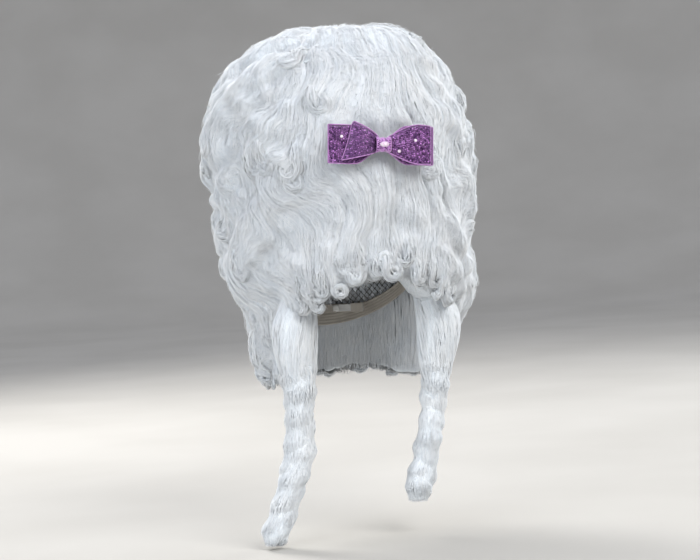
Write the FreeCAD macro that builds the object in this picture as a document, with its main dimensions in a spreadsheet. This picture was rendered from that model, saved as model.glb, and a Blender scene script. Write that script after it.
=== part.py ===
"""Tall court-style costume wig: cap, tower, wefts, hair, ringlets and a clipped bow.

The origin is the crown of the wearer's head, where the cap rests. +Z is up, -Y is the front,
and +X is the wearer's left. Sizes are in millimetres and angles in degrees.
"""
import FreeCAD, Part
import Sketcher
import math
import os
import re

SIZES = {
    # Inside of the cap: half sizes of the head form
    "head_wide": 76,
    "head_deep": 96,
    "head_tall": 115,
    # Cap
    "net_thick": 1.5,
    "rim_slope": -28,
    "rim_height": -102,
    "band_thick": 1,
    "band_width": 16,
    "fit_gap": 0.3,
    "tab_front": -44,
    "tab_length": 28,
    "tab_foot": -132,
    # Nape straps, hooks and pockets
    "strap_turn": -28,
    "strap_x": 9.1,
    "strap_y": 87,
    "strap_z": -132,
    "strap_length": 34,
    "strap_width": 8,
    "strap_thick": 1.2,
    "hook_length": 7,
    "hook_thick": 2.4,
    "sleeve_length": 14,
    "sleeve_wall": 0.8,
    "pocket_width": 7,
    "pocket_pitch": 11,
    "pocket_height": 9,
    "pocket_thick": 1.2,
    # Care label
    "label_width": 30,
    "label_height": 20,
    "label_thick": 0.4,
    "label_corner": 1.5,
    "label_y": 90.4,
    "label_top": -98,
    # Tower frame: height, half width, half depth and centre of each oval from the foot up
    "foot_height": -60,
    "foot_wide": 70,
    "foot_deep": 88,
    "foot_back": 0,
    "flare_height": -10,
    "flare_wide": 96,
    "flare_deep": 102,
    "flare_back": 3,
    "belly_height": 55,
    "belly_wide": 106,
    "belly_deep": 108,
    "belly_back": 5,
    "lid_height": 126,
    "lid_wide": 92,
    "lid_deep": 95,
    "lid_back": 5,
    "hoop_radius": 1.5,
    "stay_width": 6,
    "stay_thick": 1.2,
    "stay_margin": 3,
    # Wefts
    "weft_height": 6,
    "weft_thick": 1.6,
    "weft_pitch": 42,
    "weft_first": -48,
    "cap_weft_first": -88,
    "cap_weft_pitch": 19,
    "cap_weft_turn": 4,
    "cap_weft_step": 22,
    # Hair outline: height, half width, half depth and centre of each oval from the hem up
    "hem_height": -205,
    "hem_wide": 89,
    "hem_deep": 98,
    "hem_back": 20,
    "nape_height": -165,
    "nape_wide": 97,
    "nape_deep": 108,
    "nape_back": 16,
    "cheek_height": -122,
    "cheek_wide": 107,
    "cheek_deep": 119,
    "cheek_back": 13,
    "brow_height": -80,
    "brow_wide": 126,
    "brow_deep": 130,
    "brow_back": 8,
    "swell_height": 33,
    "swell_wide": 136,
    "swell_deep": 137,
    "swell_back": 5,
    "shoulder_height": 112,
    "shoulder_wide": 116,
    "shoulder_deep": 118,
    "shoulder_back": 5,
    "rim_top_height": 146,
    "rim_top_wide": 82,
    "rim_top_deep": 85,
    "rim_top_back": 5,
    "peak_height": 161,
    "peak_wide": 48,
    "peak_deep": 50,
    "peak_back": 5,
    # Hair sections: gaps between neighbours, and heights and directions where they meet
    "hair_gap": 0.4,
    "turn_gap": 0.1,
    "tier_height": -60,
    "crown_height": 125.6,
    "fringe_foot": -104,
    "curtain_start": -24,
    "curtain_end": 40,
    "fringe_turn": 44,
    "fringe_start": -46,
    # Temple locks and ringlets
    "lock_height": -105,
    "lock_x": 81,
    "lock_y": -68,
    "lock_wide": 21,
    "lock_deep": 19,
    "ringlet_x": 74,
    "ringlet_y": -56,
    "ringlet_radius": 15,
    "ringlet_hinge": -202,
    "ringlet_tip": 8,
    "right_mid_x": -77,
    "right_mid_z": -258,
    "right_low_x": -93,
    "right_low_z": -315,
    "right_end_x": -110,
    "right_end_z": -358,
    "left_mid_x": 66,
    "left_mid_z": -250,
    "left_low_x": 53,
    "left_low_z": -300,
    "left_end_x": 47,
    "left_end_z": -331,
    # Bow
    "bow_z": 36,
    "bow_face": -141.5,
    "bow_width": 104,
    "bow_height": 38,
    "bow_band_thick": 3,
    "loop_thick": 8,
    "bow_neck": 12,
    "bow_neck_width": 16,
    "knot_width": 13,
    "knot_wall": 1.2,
    "stone_radius": 4.5,
    "stone_height": 3,
    "chip_radius": 1.8,
    "chip_height": 1.4,
    # Bow clip
    "clip_length": 48,
    "clip_tail": 8,
    "clip_width": 9,
    "clip_thick": 0.8,
    "clip_gap": 4.6,
    "clip_pin_x": 24,
    "clip_pin_radius": 1,
    "clip_lug": 3,
}

# Half size of a block that reaches past the whole wig
FAR = 220

HAIR_LEVELS = ("hem", "nape", "cheek", "brow", "swell", "shoulder", "rim_top", "peak")
HAIR_INSIDE = "net_thick + 2 * fit_gap + weft_thick"
BOW_DEPTH = "bow_band_thick + fit_gap + loop_thick"

LEFT = 1
RIGHT = -1
X_AXIS = FreeCAD.Vector(1, 0, 0)
Y_AXIS = FreeCAD.Vector(0, 1, 0)
Z_AXIS = FreeCAD.Vector(0, 0, 1)

doc = FreeCAD.newDocument("CostumeWig")
parts = []


def fill_sheet():
    """Put the driving dimensions in the document's spreadsheet, one named cell each."""
    sheet = doc.addObject("Spreadsheet::Sheet", "Sizes")
    for row, (name, size) in enumerate(SIZES.items(), 1):
        sheet.set(f"A{row}", name)
        sheet.set(f"B{row}", str(size))
        sheet.setAlias(f"B{row}", name)
    doc.recompute()


def formula(text):
    """A sheet expression, from a formula that uses the bare names of the cells."""
    return re.sub(r"[a-z][a-z_]*", lambda word: sized(word.group()), str(text))


def sized(word):
    return f"Sizes.{word}" if word in SIZES else word


def bind(thing, **formulas):
    for name, text in formulas.items():
        thing.setExpression(name, formula(text))
    return thing


def make(kind, name, **formulas):
    """Add an object of the document whose sizes follow formulas of the sheet."""
    return bind(doc.addObject(kind, name), **formulas)


def place(thing, x=0, y=0, z=0, turn=None, axis=Z_AXIS):
    """Bind an object's place to formulas, and turn it about one axis if asked."""
    if turn is not None:
        thing.Placement = FreeCAD.Placement(FreeCAD.Vector(), FreeCAD.Rotation(axis, 1))
        thing.setExpression("Placement.Rotation.Angle", formula(turn))
    for letter, text in zip("xyz", (x, y, z)):
        thing.setExpression(f"Placement.Base.{letter}", formula(text))
    return thing


def part(thing, label):
    """Name a finished sub-part."""
    thing.Label = label
    parts.append(thing)
    return thing


def side_name(side):
    return "left" if side == LEFT else "right"


def box(name, low, size, turn=None, axis=Z_AXIS):
    """A box with its lowest corner and its length, width and height as formulas."""
    block = make("Part::Box", name, Length=size[0], Width=size[1], Height=size[2])
    return place(block, *low, turn=turn, axis=axis)


def cut(name, body, tool):
    result = doc.addObject("Part::Cut", name)
    result.Base = body
    result.Tool = tool
    return result


def common(name, *shapes):
    result = doc.addObject("Part::MultiCommon", name)
    result.Shapes = list(shapes)
    return result


def fuse(name, *shapes):
    result = doc.addObject("Part::MultiFuse", name)
    result.Shapes = list(shapes)
    return result


def loft(name, rings):
    solid = doc.addObject("Part::Loft", name)
    solid.Sections = rings
    solid.Solid = True
    return solid


def oval(name, x, y, z, wide, deep):
    """A level ellipse, deeper from front to back than it is wide."""
    ring = make("Part::Ellipse", name, MajorRadius=deep, MinorRadius=wide)
    return place(ring, x, y, z, turn=90)


def level_loft(name, levels, grow):
    """A loft through the named levels of the sheet, with every half size grown by a formula."""
    rings = []
    for level in levels:
        wide = f"{level}_wide + {grow}"
        deep = f"{level}_deep + {grow}"
        rings.append(oval(f"{name}_{level}", 0, f"{level}_back", f"{level}_height", wide, deep))
    return loft(name, rings)


def head_form(name, grow):
    """The head's egg shape with its top at the origin, grown by a formula."""
    egg = make(
        "Part::Ellipsoid",
        name,
        Radius1=f"head_tall + {grow}",
        Radius2=f"head_wide + {grow}",
        Radius3=f"head_deep + {grow}",
    )
    return place(egg, z="-head_tall")


def head_shell(name, inner, outer):
    """The space between two grown head forms."""
    return cut(name, head_form(name + "_outer", outer), head_form(name + "_inner", inner))


def tower_form(name, grow):
    return level_loft(name, ("foot", "flare", "belly", "lid"), grow)


def tower_shell(name, inner, outer):
    """The space between two grown tower forms, open at the foot and the lid."""
    return cut(name, tower_form(name + "_outer", outer), tower_form(name + "_inner", inner))


def below_rim(name, lift=0):
    """Everything below the cap's sloping rim, or below a plane lifted from it."""
    block = make("Part::Box", name, Length=2 * FAR, Width=2 * FAR, Height=FAR)
    y = f"-{FAR} * (cos(rim_slope) - sin(rim_slope))"
    z = f"rim_height + {lift} - {FAR} * (sin(rim_slope) + cos(rim_slope))"
    return place(block, -FAR, y, z, turn="rim_slope", axis=X_AXIS)


def layer(name, low, height):
    """A level slab that reaches past the whole wig."""
    return box(name, (-FAR, -FAR, low), (2 * FAR, 2 * FAR, height))


def wedge(name, start, sweep, low, high):
    """An upright slice of a round block about the Z axis, counted anticlockwise from +X."""
    block = make("Part::Cylinder", name, Radius=FAR, Height=f"({high}) - ({low})", Angle=sweep)
    return place(block, 0, 0, low, turn=start)


def new_body(name):
    return doc.addObject("PartDesign::Body", name)


def plane(body, role):
    """One of a body's own origin planes."""
    return next(item for item in body.Origin.OriginFeatures if item.Role == role)


def sketch_on(body, name, role):
    sketch = body.newObject("Sketcher::SketchObject", name)
    sketch.AttachmentSupport = [(plane(body, role), "")]
    sketch.MapMode = "FlatFace"
    return sketch


def draw_box(sketch, width, height, x=0, y=0):
    """A rectangle centred on (x, y), with its size and place bound to formulas."""
    corners = [(-1, -1), (1, -1), (1, 1), (-1, 1)]
    first = sketch.GeometryCount
    for start, end in zip(corners, corners[1:] + corners[:1]):
        sketch.addGeometry(Part.LineSegment(FreeCAD.Vector(*start, 0), FreeCAD.Vector(*end, 0)), False)
    for side in range(4):
        following = first + (side + 1) % 4
        sketch.addConstraint(Sketcher.Constraint("Coincident", first + side, 2, following, 1))
    for side, direction in enumerate(("Horizontal", "Vertical", "Horizontal", "Vertical")):
        sketch.addConstraint(Sketcher.Constraint(direction, first + side))
    measure(sketch, "DistanceX", (first, 1, first, 2), width)
    measure(sketch, "DistanceY", (first + 1, 1, first + 1, 2), height)
    measure(sketch, "DistanceX", (-1, 1, first, 1), f"({x}) - ({width}) / 2")
    measure(sketch, "DistanceY", (-1, 1, first, 1), f"({y}) - ({height}) / 2")


def draw_polygon(sketch, corners):
    """A closed outline whose corners are pairs of formulas."""
    first = sketch.GeometryCount
    count = len(corners)
    angle = 2 * math.pi / count
    guesses = [FreeCAD.Vector(math.cos(n * angle), math.sin(n * angle), 0) for n in range(count)]
    for start, end in zip(guesses, guesses[1:] + guesses[:1]):
        sketch.addGeometry(Part.LineSegment(start, end), False)
    for number in range(count):
        following = first + (number + 1) % count
        sketch.addConstraint(Sketcher.Constraint("Coincident", first + number, 2, following, 1))
    for number, (x, y) in enumerate(corners):
        measure(sketch, "DistanceX", (-1, 1, first + number, 1), x)
        measure(sketch, "DistanceY", (-1, 1, first + number, 1), y)


def draw_circle(sketch, radius, x=0, y=0):
    ring = sketch.addGeometry(Part.Circle(FreeCAD.Vector(), FreeCAD.Vector(0, 0, 1), 1), False)
    measure(sketch, "Radius", (ring,), radius)
    measure(sketch, "DistanceX", (-1, 1, ring, 3), x)
    measure(sketch, "DistanceY", (-1, 1, ring, 3), y)


def measure(sketch, kind, ends, text):
    """Add a dimension to a sketch and bind it to a formula."""
    index = sketch.addConstraint(Sketcher.Constraint(kind, *ends, 1.0))
    sketch.setExpression(f"Constraints[{index}]", formula(text))


def pad(body, sketch, length, both_ways=True):
    feature = body.newObject("PartDesign::Pad", sketch.Name + "_pad")
    feature.Profile = sketch
    feature.setExpression("Length", formula(length))
    feature.Midplane = both_ways
    return feature


def pocket(body, sketch, length):
    """Cut a sketch through a body, the same distance both ways."""
    feature = body.newObject("PartDesign::Pocket", sketch.Name + "_pocket")
    feature.Profile = sketch
    feature.setExpression("Length", formula(length))
    feature.Midplane = True
    return feature


def round_edges(body, base, radius, edges):
    feature = body.newObject("PartDesign::Fillet", base.Name + "_round")
    feature.Base = (base, edges)
    feature.setExpression("Radius", formula(radius))
    return feature


def plate(name, width, height, thick, corner):
    """A plate in the XZ plane, centred on its own origin, with rounded corners."""
    body = new_body(name)
    sketch = sketch_on(body, name + "_outline", "XZ_Plane")
    draw_box(sketch, width, height)
    slab = pad(body, sketch, thick)
    doc.recompute()
    corners = edges_along(slab.Shape, FreeCAD.Vector(0, 1, 0))
    round_edges(body, slab, corner, corners)
    return body


def edges_along(shape, direction):
    """The names of the straight edges that run along a direction."""
    names = []
    for number, edge in enumerate(shape.Edges, 1):
        span = edge.Vertexes[-1].Point - edge.Vertexes[0].Point
        if span.Length > 0 and abs(span.normalize().dot(direction)) > 0.999:
            names.append(f"Edge{number}")
    return names


# ---- Cap ----


def build_cap():
    """The elastic net, its two bands and the ear tabs."""
    net = cut("Net", head_shell("NetShell", "0", "net_thick"), below_rim("NetRim"))
    part(net, "cap_net")
    inner = "(-band_thick - fit_gap)"
    upper = cut("BandShell", head_shell("BandHoop", inner, "(-fit_gap)"), below_rim("BandRim"))
    strip = common("BandStrip", upper, below_rim("BandTop", "band_width"))
    front = common("FrontBand", strip, wedge("FrontHalf", 190, 160, -250, 10))
    back = common("NapeBand", strip, wedge("BackHalf", 10.5, 159, -250, 10))
    part(front, "front_band")
    part(back, "nape_band")
    for side in (LEFT, RIGHT):
        build_ear_tab(side)


def build_ear_tab(side):
    """A stiffened tab below the rim, in front of the ear."""
    name = "EarTab" + side_name(side).title()
    low_x = 0 if side == LEFT else -FAR
    slot = box(name + "Slot", (low_x, "tab_front", "tab_foot"), (FAR, "tab_length", FAR))
    shell = head_shell(name + "Shell", "0", "net_thick")
    tab = common(name, shell, slot, below_rim(name + "Rim", "(-fit_gap)"))
    part(tab, "ear_tab_" + side_name(side))


def build_straps():
    """The two hooked straps at the nape, the sleeves they slide in, and their row of pockets."""
    for side in (LEFT, RIGHT):
        turn = "strap_turn" if side == LEFT else "180 - strap_turn"
        seat = (f"{side} * strap_x", "strap_y", "strap_z")
        part(place(strap_body("Strap", side), *seat, turn=turn), "nape_strap_" + side_name(side))
        part(place(sleeve_body("Sleeve", side), *seat, turn=turn), "strap_sleeve_" + side_name(side))
    inner = "(-band_thick - 3 * fit_gap - pocket_thick)"
    shell = head_shell("PocketShell", inner, "(-band_thick - 2 * fit_gap)")
    slots = []
    for number in range(-2, 3):
        low = (f"{number} * pocket_pitch - pocket_width / 2", 0, "strap_z - pocket_height / 2")
        slots.append(box(f"PocketSlot{number + 3}", low, ("pocket_width", FAR, "pocket_height")))
    part(common("Pockets", shell, fuse("PocketSlots", *slots)), "hook_pockets")


def strap_body(name, side):
    """A flat strap along +X from the origin, with a thicker turned-up hook on its inner end."""
    body = new_body(name + side_name(side).title())
    strap = sketch_on(body, body.Name + "_strap", "XZ_Plane")
    draw_box(strap, "strap_length", "strap_width", "strap_length / 2", 0)
    pad(body, strap, "strap_thick")
    hook = sketch_on(body, body.Name + "_hook", "XZ_Plane")
    draw_box(hook, "hook_length", "strap_width - 1", "hook_length / 2", 0)
    slab = pad(body, hook, "hook_thick")
    doc.recompute()
    body.Tip = slab
    return body


def sleeve_body(name, side):
    """A flat sewn tube round the strap's outer end."""
    body = new_body(name + side_name(side).title())
    centre = "strap_length - sleeve_length / 2"
    outer = sketch_on(body, body.Name + "_outer", "YZ_Plane")
    inside = ("strap_thick + 2 * fit_gap", "strap_width + 2 * fit_gap")
    draw_box(outer, *(f"{size} + 2 * sleeve_wall" for size in inside))
    outer.setExpression("AttachmentOffset.Base.z", formula(centre))
    pad(body, outer, "sleeve_length")
    inner = sketch_on(body, body.Name + "_inner", "YZ_Plane")
    draw_box(inner, *inside)
    inner.setExpression("AttachmentOffset.Base.z", formula(centre))
    pocket(body, inner, "sleeve_length + 2")
    return body


def build_label():
    """A blank care label sewn inside the back of the cap."""
    body = plate("Label", "label_width", "label_height", "label_thick", "label_corner")
    part(place(body, 0, "label_y", "label_top - label_height / 2"), "care_label")


# ---- Tower frame ----


def build_tower():
    """The stiffened net that holds the hair up, with its lid, hoops, stays and wadding."""
    part(tower_shell("TowerNet", "0", "net_thick"), "tower_net")
    lid = level_disc("TowerLid", "lid", "net_thick", "fit_gap", "net_thick")
    part(lid, "tower_lid")
    for number, level in enumerate(("flare", "belly", "lid"), 1):
        part(build_hoop(f"Hoop{number}", level), f"tower_hoop_{number}")
    part(build_stays(), "tower_stays")
    part(build_wadding(), "tower_wadding")


def level_disc(name, level, grow, lift, thick):
    """A flat oval plate standing a little above a level of the tower."""
    base = f"{level}_height + {lift}"
    size = (f"{level}_wide + {grow}", f"{level}_deep + {grow}")
    low = oval(name + "_low", 0, f"{level}_back", base, *size)
    high = oval(name + "_high", 0, f"{level}_back", f"{base} + {thick}", *size)
    return loft(name, [low, high])


def build_hoop(name, level):
    """A round wire bent to an oval, inside the net at one level."""
    inset = "(2 * fit_gap + stay_thick + hoop_radius + 2)"
    height = f"{level}_height - 2 * hoop_radius"
    size = (f"{level}_wide - {inset}", f"{level}_deep - {inset}")
    line = oval(name + "_line", 0, f"{level}_back", height, *size)
    wire = make("Part::Circle", name + "_wire", Radius="hoop_radius")
    place(wire, 0, f"{level}_back - {level}_deep + {inset}", height, turn=90, axis=Y_AXIS)
    hoop = doc.addObject("Part::Sweep", name)
    hoop.Sections = [wire]
    hoop.Spine = (line, ["Edge1"])
    hoop.Solid = True
    hoop.Frenet = True
    return hoop


def build_stays():
    """Eight flat bones that run up the inside of the net."""
    shell = tower_shell("StayShell", "(-fit_gap - stay_thick)", "(-fit_gap)")
    bars = []
    size = (2 * FAR, "stay_width", "lid_height - foot_height - 2 * stay_margin")
    for number in range(4):
        turn = 22.5 + 45 * number
        x = f"-{FAR} * cos({turn}) + stay_width / 2 * sin({turn})"
        y = f"belly_back - {FAR} * sin({turn}) - stay_width / 2 * cos({turn})"
        low = (x, y, "foot_height + stay_margin")
        bars.append(box(f"StayBar{number + 1}", low, size, turn=turn))
    return common("Stays", shell, fuse("StayBars", *bars))


def build_wadding():
    """Light stuffing that fills the tower over the crown of the cap."""
    inset = "(-2 * fit_gap - stay_thick - 2 * hoop_radius - 4)"
    block = tower_form("WaddingBlock", inset)
    core = cut("WaddingCore", block, head_form("WaddingCrown", "net_thick + fit_gap"))
    return cut("Wadding", core, layer("WaddingTop", "lid_height - net_thick", FAR))


# ---- Wefts ----


def build_wefts():
    """Sewn tracks that carry the hair: full rings on the tower, back and sides only on the cap."""
    inner = "net_thick + fit_gap"
    outer = f"{inner} + weft_thick"
    for number in range(4):
        name = f"Weft{number + 1}"
        slab = layer(name + "Slab", f"weft_first + {number} * weft_pitch", "weft_height")
        shell = tower_shell(name + "Shell", inner, outer)
        part(common(name, shell, slab), f"tower_weft_{number + 1}")
    for number in range(3):
        name = f"CapWeft{number + 1}"
        low = f"cap_weft_first - {number} * cap_weft_pitch"
        start = f"(cap_weft_turn + {number} * cap_weft_step)"
        region = wedge(name + "Slab", start, f"180 - 2 * {start}", low, f"{low} + weft_height")
        shell = head_shell(name + "Shell", inner, outer)
        part(common(name, shell, region), f"cap_weft_{number + 1}")


# ---- Hair ----


def hair_outline(name):
    return level_loft(name, HAIR_LEVELS, "0")


def head_room(name):
    """The space that the cap and the head take up, carried straight down past the neck."""
    egg = head_form(name + "_egg", HAIR_INSIDE)
    size = (f"head_wide + {HAIR_INSIDE}", f"head_deep + {HAIR_INSIDE}")
    column_top = oval(name + "_top", 0, 0, "-head_tall", *size)
    column_foot = oval(name + "_foot", 0, 0, "hem_height - 10", *size)
    return fuse(name, egg, loft(name + "_column", [column_foot, column_top]))


def build_hair():
    build_crown_hair()
    build_tower_hair()
    build_side_hair()


def build_crown_hair():
    """The curls over the top of the tower, with room for the lid under them."""
    region = layer("CrownSlab", "crown_height + hair_gap", FAR)
    block = common("CrownBlock", hair_outline("CrownOutline"), region)
    room = level_disc("LidRoom", "lid", "net_thick + 1", "-1", "net_thick + 2 * fit_gap + 1")
    part(cut("CrownHair", block, room), "crown_hair")


def build_tower_hair():
    """The tower's hair in eight upright sections."""
    wall = cut("TowerHair", hair_outline("TowerOutline"), tower_form("TowerRoom", HAIR_INSIDE))
    labels = ("side_left", "back_left", "back_centre", "back_right", "side_right",
              "front_right", "front_centre", "front_left")
    starts = (-22, 32, 72, 108, 148, 202, 248, 292)
    for label, start, end in zip(labels, starts, starts[1:] + (338,)):
        name = "Tower" + label.title().replace("_", "")
        span = (f"{start} + turn_gap", f"{end - start} - 2 * turn_gap")
        region = wedge(name + "Wedge", *span, "tier_height + hair_gap", "crown_height")
        part(common(name, wall, region), "tower_hair_" + label)


def build_side_hair():
    """The curls under the tower: fringe, sides over the ears, and nape."""
    wall = cut("LowHair", hair_outline("LowOutline"), head_room("LowRoom"))
    span = ("270 - fringe_turn + 2 * turn_gap", "2 * fringe_turn - 4 * turn_gap")
    fringe = wedge("FringeRegion", *span, "fringe_foot", "tier_height")
    part(common("Fringe", wall, fringe), "fringe_curls")
    for side in (LEFT, RIGHT):
        word = side_name(side)
        start = "curtain_start" if side == LEFT else "180 - curtain_end"
        span = (f"{start} + turn_gap", "curtain_end - curtain_start - 2 * turn_gap")
        region = wedge(f"Side{word}Wedge", *span, "hem_height", "tier_height")
        part(common(f"Side{word}", wall, region), "side_curls_" + word)
        start = "curtain_end" if side == LEFT else "90"
        span = (f"{start} + turn_gap", "90 - curtain_end - 2 * turn_gap")
        region = wedge(f"Nape{word}Wedge", *span, "hem_height", "tier_height")
        part(common(f"Nape{word}", wall, region), "nape_curls_" + word)
        part(temple_lock(word, side, wall), "temple_lock_" + word)
        part(ringlet(word, side), "ringlet_" + word)


def temple_lock(word, side, wall):
    """The lock at the temple: it leaves the tower's foot and narrows to the top of the ringlet."""
    name = "Temple" + word
    start = "fringe_start" if side == LEFT else "180 - curtain_start"
    span = (f"{start} + 2 * turn_gap", "curtain_start - fringe_start - 4 * turn_gap")
    region = wedge(name + "Wedge", *span, "lock_height - 3", "tier_height")
    root = common(name + "Root", wall, region)
    foot_z = "(ringlet_hinge + ringlet_radius + 1)"
    middle_x = f"{side} * (lock_x + ringlet_x) / 2"
    middle = (middle_x, "(lock_y + ringlet_y) / 2", f"(lock_height + {foot_z}) / 2")
    foot = (f"{side} * ringlet_x", "ringlet_y", foot_z)
    top = (f"{side} * lock_x", "lock_y", "lock_height")
    rings = [
        wide_oval(name + "Top", *top, "lock_wide", "lock_deep"),
        wide_oval(name + "Middle", *middle, "lock_wide * 0.85", "lock_deep * 0.85"),
        wide_oval(name + "Foot", *foot, "ringlet_radius", "ringlet_radius - 0.1"),
    ]
    return fuse(name, root, loft(name + "Lock", rings))


def wide_oval(name, x, y, z, wide, deep):
    """A level ellipse that is wider than it is deep."""
    return place(make("Part::Ellipse", name, MajorRadius=wide, MinorRadius=deep), x, y, z)


def ringlet(word, side):
    """A hanging ringlet with a round top on its hinge and a tapered tip."""
    ball = make("Part::Sphere", f"Ringlet{word}Top", Radius="ringlet_radius")
    place(ball, f"{side} * ringlet_x", "ringlet_y", "ringlet_hinge", turn=47)
    stops = [(f"{side} * ringlet_x", "ringlet_hinge + 4", "ringlet_radius - 1"),
             (f"{side} * ringlet_x", "ringlet_hinge - 18", "ringlet_radius + 0.3"),
             (f"{word}_mid_x", f"{word}_mid_z", "ringlet_radius - 0.5"),
             (f"{word}_low_x", f"{word}_low_z", "ringlet_radius - 1"),
             (f"{word}_end_x", f"{word}_end_z", "ringlet_tip")]
    rings = []
    for number, (x, z, radius) in enumerate(stops):
        ring = make("Part::Circle", f"Ringlet{word}Ring{number}", Radius=radius)
        rings.append(place(ring, x, "ringlet_y", z))
    return fuse(f"Ringlet{word}", ball, loft(f"Ringlet{word}Roll", rings))


# ---- Bow ----


def build_bow():
    """The violet bow: flat band behind, two loops, a knot, and its stones."""
    part(place(bow_band(), 0, "bow_face - bow_band_thick / 2", "bow_z"), "bow_band")
    for side in (LEFT, RIGHT):
        part(bow_loop(side), "bow_loop_" + side_name(side))
    part(place(bow_knot(), 0, f"bow_face - ({BOW_DEPTH}) / 2", "bow_z"), "bow_knot")
    front = f"bow_face - ({BOW_DEPTH}) - fit_gap - knot_wall - fit_gap"
    part(place(stone("Stone", "stone_radius", "stone_height"), 0, front, "bow_z"), "bow_stone")
    part(bow_chips(), "bow_chips")


def bow_band():
    """The rear ribbon: square ends, gathered to a narrow neck in the middle."""
    body = new_body("BowBand")
    outline = sketch_on(body, "BowBand_outline", "XZ_Plane")
    half, tall = "bow_width / 2", "bow_height / 2"
    neck, low = "bow_neck_width / 2", "bow_neck / 2"
    quarter = [(half, tall), (neck, low)]
    corners = [(f"-{x}", z) for x, z in quarter]
    corners += [(x, z) for x, z in reversed(quarter)]
    corners += [(x, f"-{z}") for x, z in quarter]
    corners += [(f"-{x}", f"-{z}") for x, z in reversed(quarter)]
    draw_polygon(outline, corners)
    pad(body, outline, "bow_band_thick")
    return body


def bow_loop(side):
    """One soft loop: it fans out from the knot to a tall rounded end."""
    word = side_name(side)
    y = "bow_face - bow_band_thick - fit_gap - loop_thick / 2"
    reach = "(bow_width / 2 - 5)"
    stops = (("0.5", "bow_neck / 2", "loop_thick * 0.4"),
             ("knot_width / 2 + 1", "bow_neck * 0.55", "loop_thick * 0.44"),
             (f"{reach} * 0.48", "bow_height * 0.4", "loop_thick / 2"),
             (f"{reach} * 0.8", "bow_height * 0.52", "loop_thick * 0.42"),
             (f"{reach}", "bow_height * 0.48", "loop_thick * 0.3"))
    rings = []
    for number, (x, tall, thick) in enumerate(stops):
        ring = make("Part::Ellipse", f"Loop{word}{number}", MajorRadius=tall, MinorRadius=thick)
        rings.append(place(ring, f"{side} * {x}", y, "bow_z", turn=90, axis=Y_AXIS))
    return loft(f"Loop{word}", rings)


def bow_knot():
    """The strip wrapped round the middle of the band and the loops."""
    body = new_body("Knot")
    outline = sketch_on(body, "Knot_outline", "YZ_Plane")
    inside, tall = f"{BOW_DEPTH} + 2 * fit_gap", "bow_neck * 1.35"
    draw_box(outline, f"{inside} + 2 * knot_wall", f"{tall} + 2 * knot_wall")
    draw_box(outline, inside, tall)
    pad(body, outline, "knot_width")
    return body


def stone(name, radius, height):
    """A cut stone with its flat back on the origin, facing -Y."""
    body = new_body(name)
    profile = sketch_on(body, name + "_profile", "YZ_Plane")
    corners = [("0", "0"), ("0", radius), (f"-{height} * 0.45", radius),
               (f"-{height}", f"{radius} * 0.55"), (f"-{height}", "0")]
    draw_polygon(profile, corners)
    turned = body.newObject("PartDesign::Revolution", name + "_turned")
    turned.Profile = profile
    turned.ReferenceAxis = (profile, ["H_Axis"])
    turned.Angle = 360
    return body


def bow_chips():
    """Four small stones glued to the loops."""
    chips = []
    front = "bow_face - bow_band_thick - fit_gap - loop_thick - fit_gap"
    for number, (x, z) in enumerate(((-34, 8), (12, -7), (31, 4), (36, 0)), 1):
        chip = make("Part::Cone", f"Chip{number}", Radius1="chip_radius", Radius2="chip_radius * 0.6",
                    Height="chip_height")
        chips.append(place(chip, x, front, f"bow_z + {z}", turn=90, axis=X_AXIS))
    return fuse("Chips", *chips)


# ---- Bow clip ----


def build_clip():
    """A sprung hair clip: the rear jaw holds the hair and the bow rides on the front one."""
    pin_y = "bow_face + knot_wall + 3 * fit_gap + clip_thick + clip_gap / 2"
    moving = place(jaw("MovingJaw", -1), "clip_pin_x", pin_y, "bow_z")
    fixed = place(jaw("FixedJaw", 1), "clip_pin_x", pin_y, "bow_z")
    part(moving, "clip_moving_jaw")
    part(fixed, "clip_fixed_jaw")
    pin = make("Part::Cylinder", "ClipPin", Radius="clip_pin_radius", Height="clip_width + 2")
    part(place(pin, "clip_pin_x", pin_y, "bow_z - clip_width / 2 - 1"), "clip_pin")
    part(place(clip_spring(), "clip_pin_x", pin_y, "bow_z"), "clip_spring")


def jaw(name, toward):
    """A jaw with two lugs round the pin; toward is -1 for the front jaw and 1 for the rear one."""
    body = new_body(name)
    half = "clip_gap / 2"
    blade = sketch_on(body, name + "_blade", "XZ_Plane")
    draw_box(blade, "clip_length + clip_tail", "clip_width", "(clip_tail - clip_length) / 2", 0)
    blade.setExpression("AttachmentOffset.Base.z", formula(f"{-toward} * ({half} + clip_thick / 2)"))
    pad(body, blade, "clip_thick")
    inset = "clip_thick / 2" if toward < 0 else "(clip_thick * 1.5 + fit_gap)"
    depth = f"clip_width / 2 - {inset}"
    for level in (-1, 1):
        lug = sketch_on(body, f"{name}_lug{level + 2}", "XY_Plane")
        reach = f"{half} + clip_pin_radius + 0.5"
        draw_box(lug, "clip_lug", reach, 0, f"{toward} * ({half} - ({reach}) / 2)")
        lug.setExpression("AttachmentOffset.Base.z", formula(f"{level} * ({depth})"))
        pad(body, lug, "clip_thick")
    hole = sketch_on(body, name + "_hole", "XY_Plane")
    draw_circle(hole, "clip_pin_radius + 0.1")
    pocket(body, hole, "clip_width + 2")
    return body


def clip_spring():
    """A strip spring bent round the pin between the jaws."""
    body = new_body("ClipSpring")
    bend = sketch_on(body, "ClipSpring_bend", "XY_Plane")
    draw_circle(bend, "clip_pin_radius + 0.6")
    draw_circle(bend, "clip_pin_radius + 0.15")
    pad(body, bend, "clip_width - 6 * clip_thick")
    return body


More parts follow.
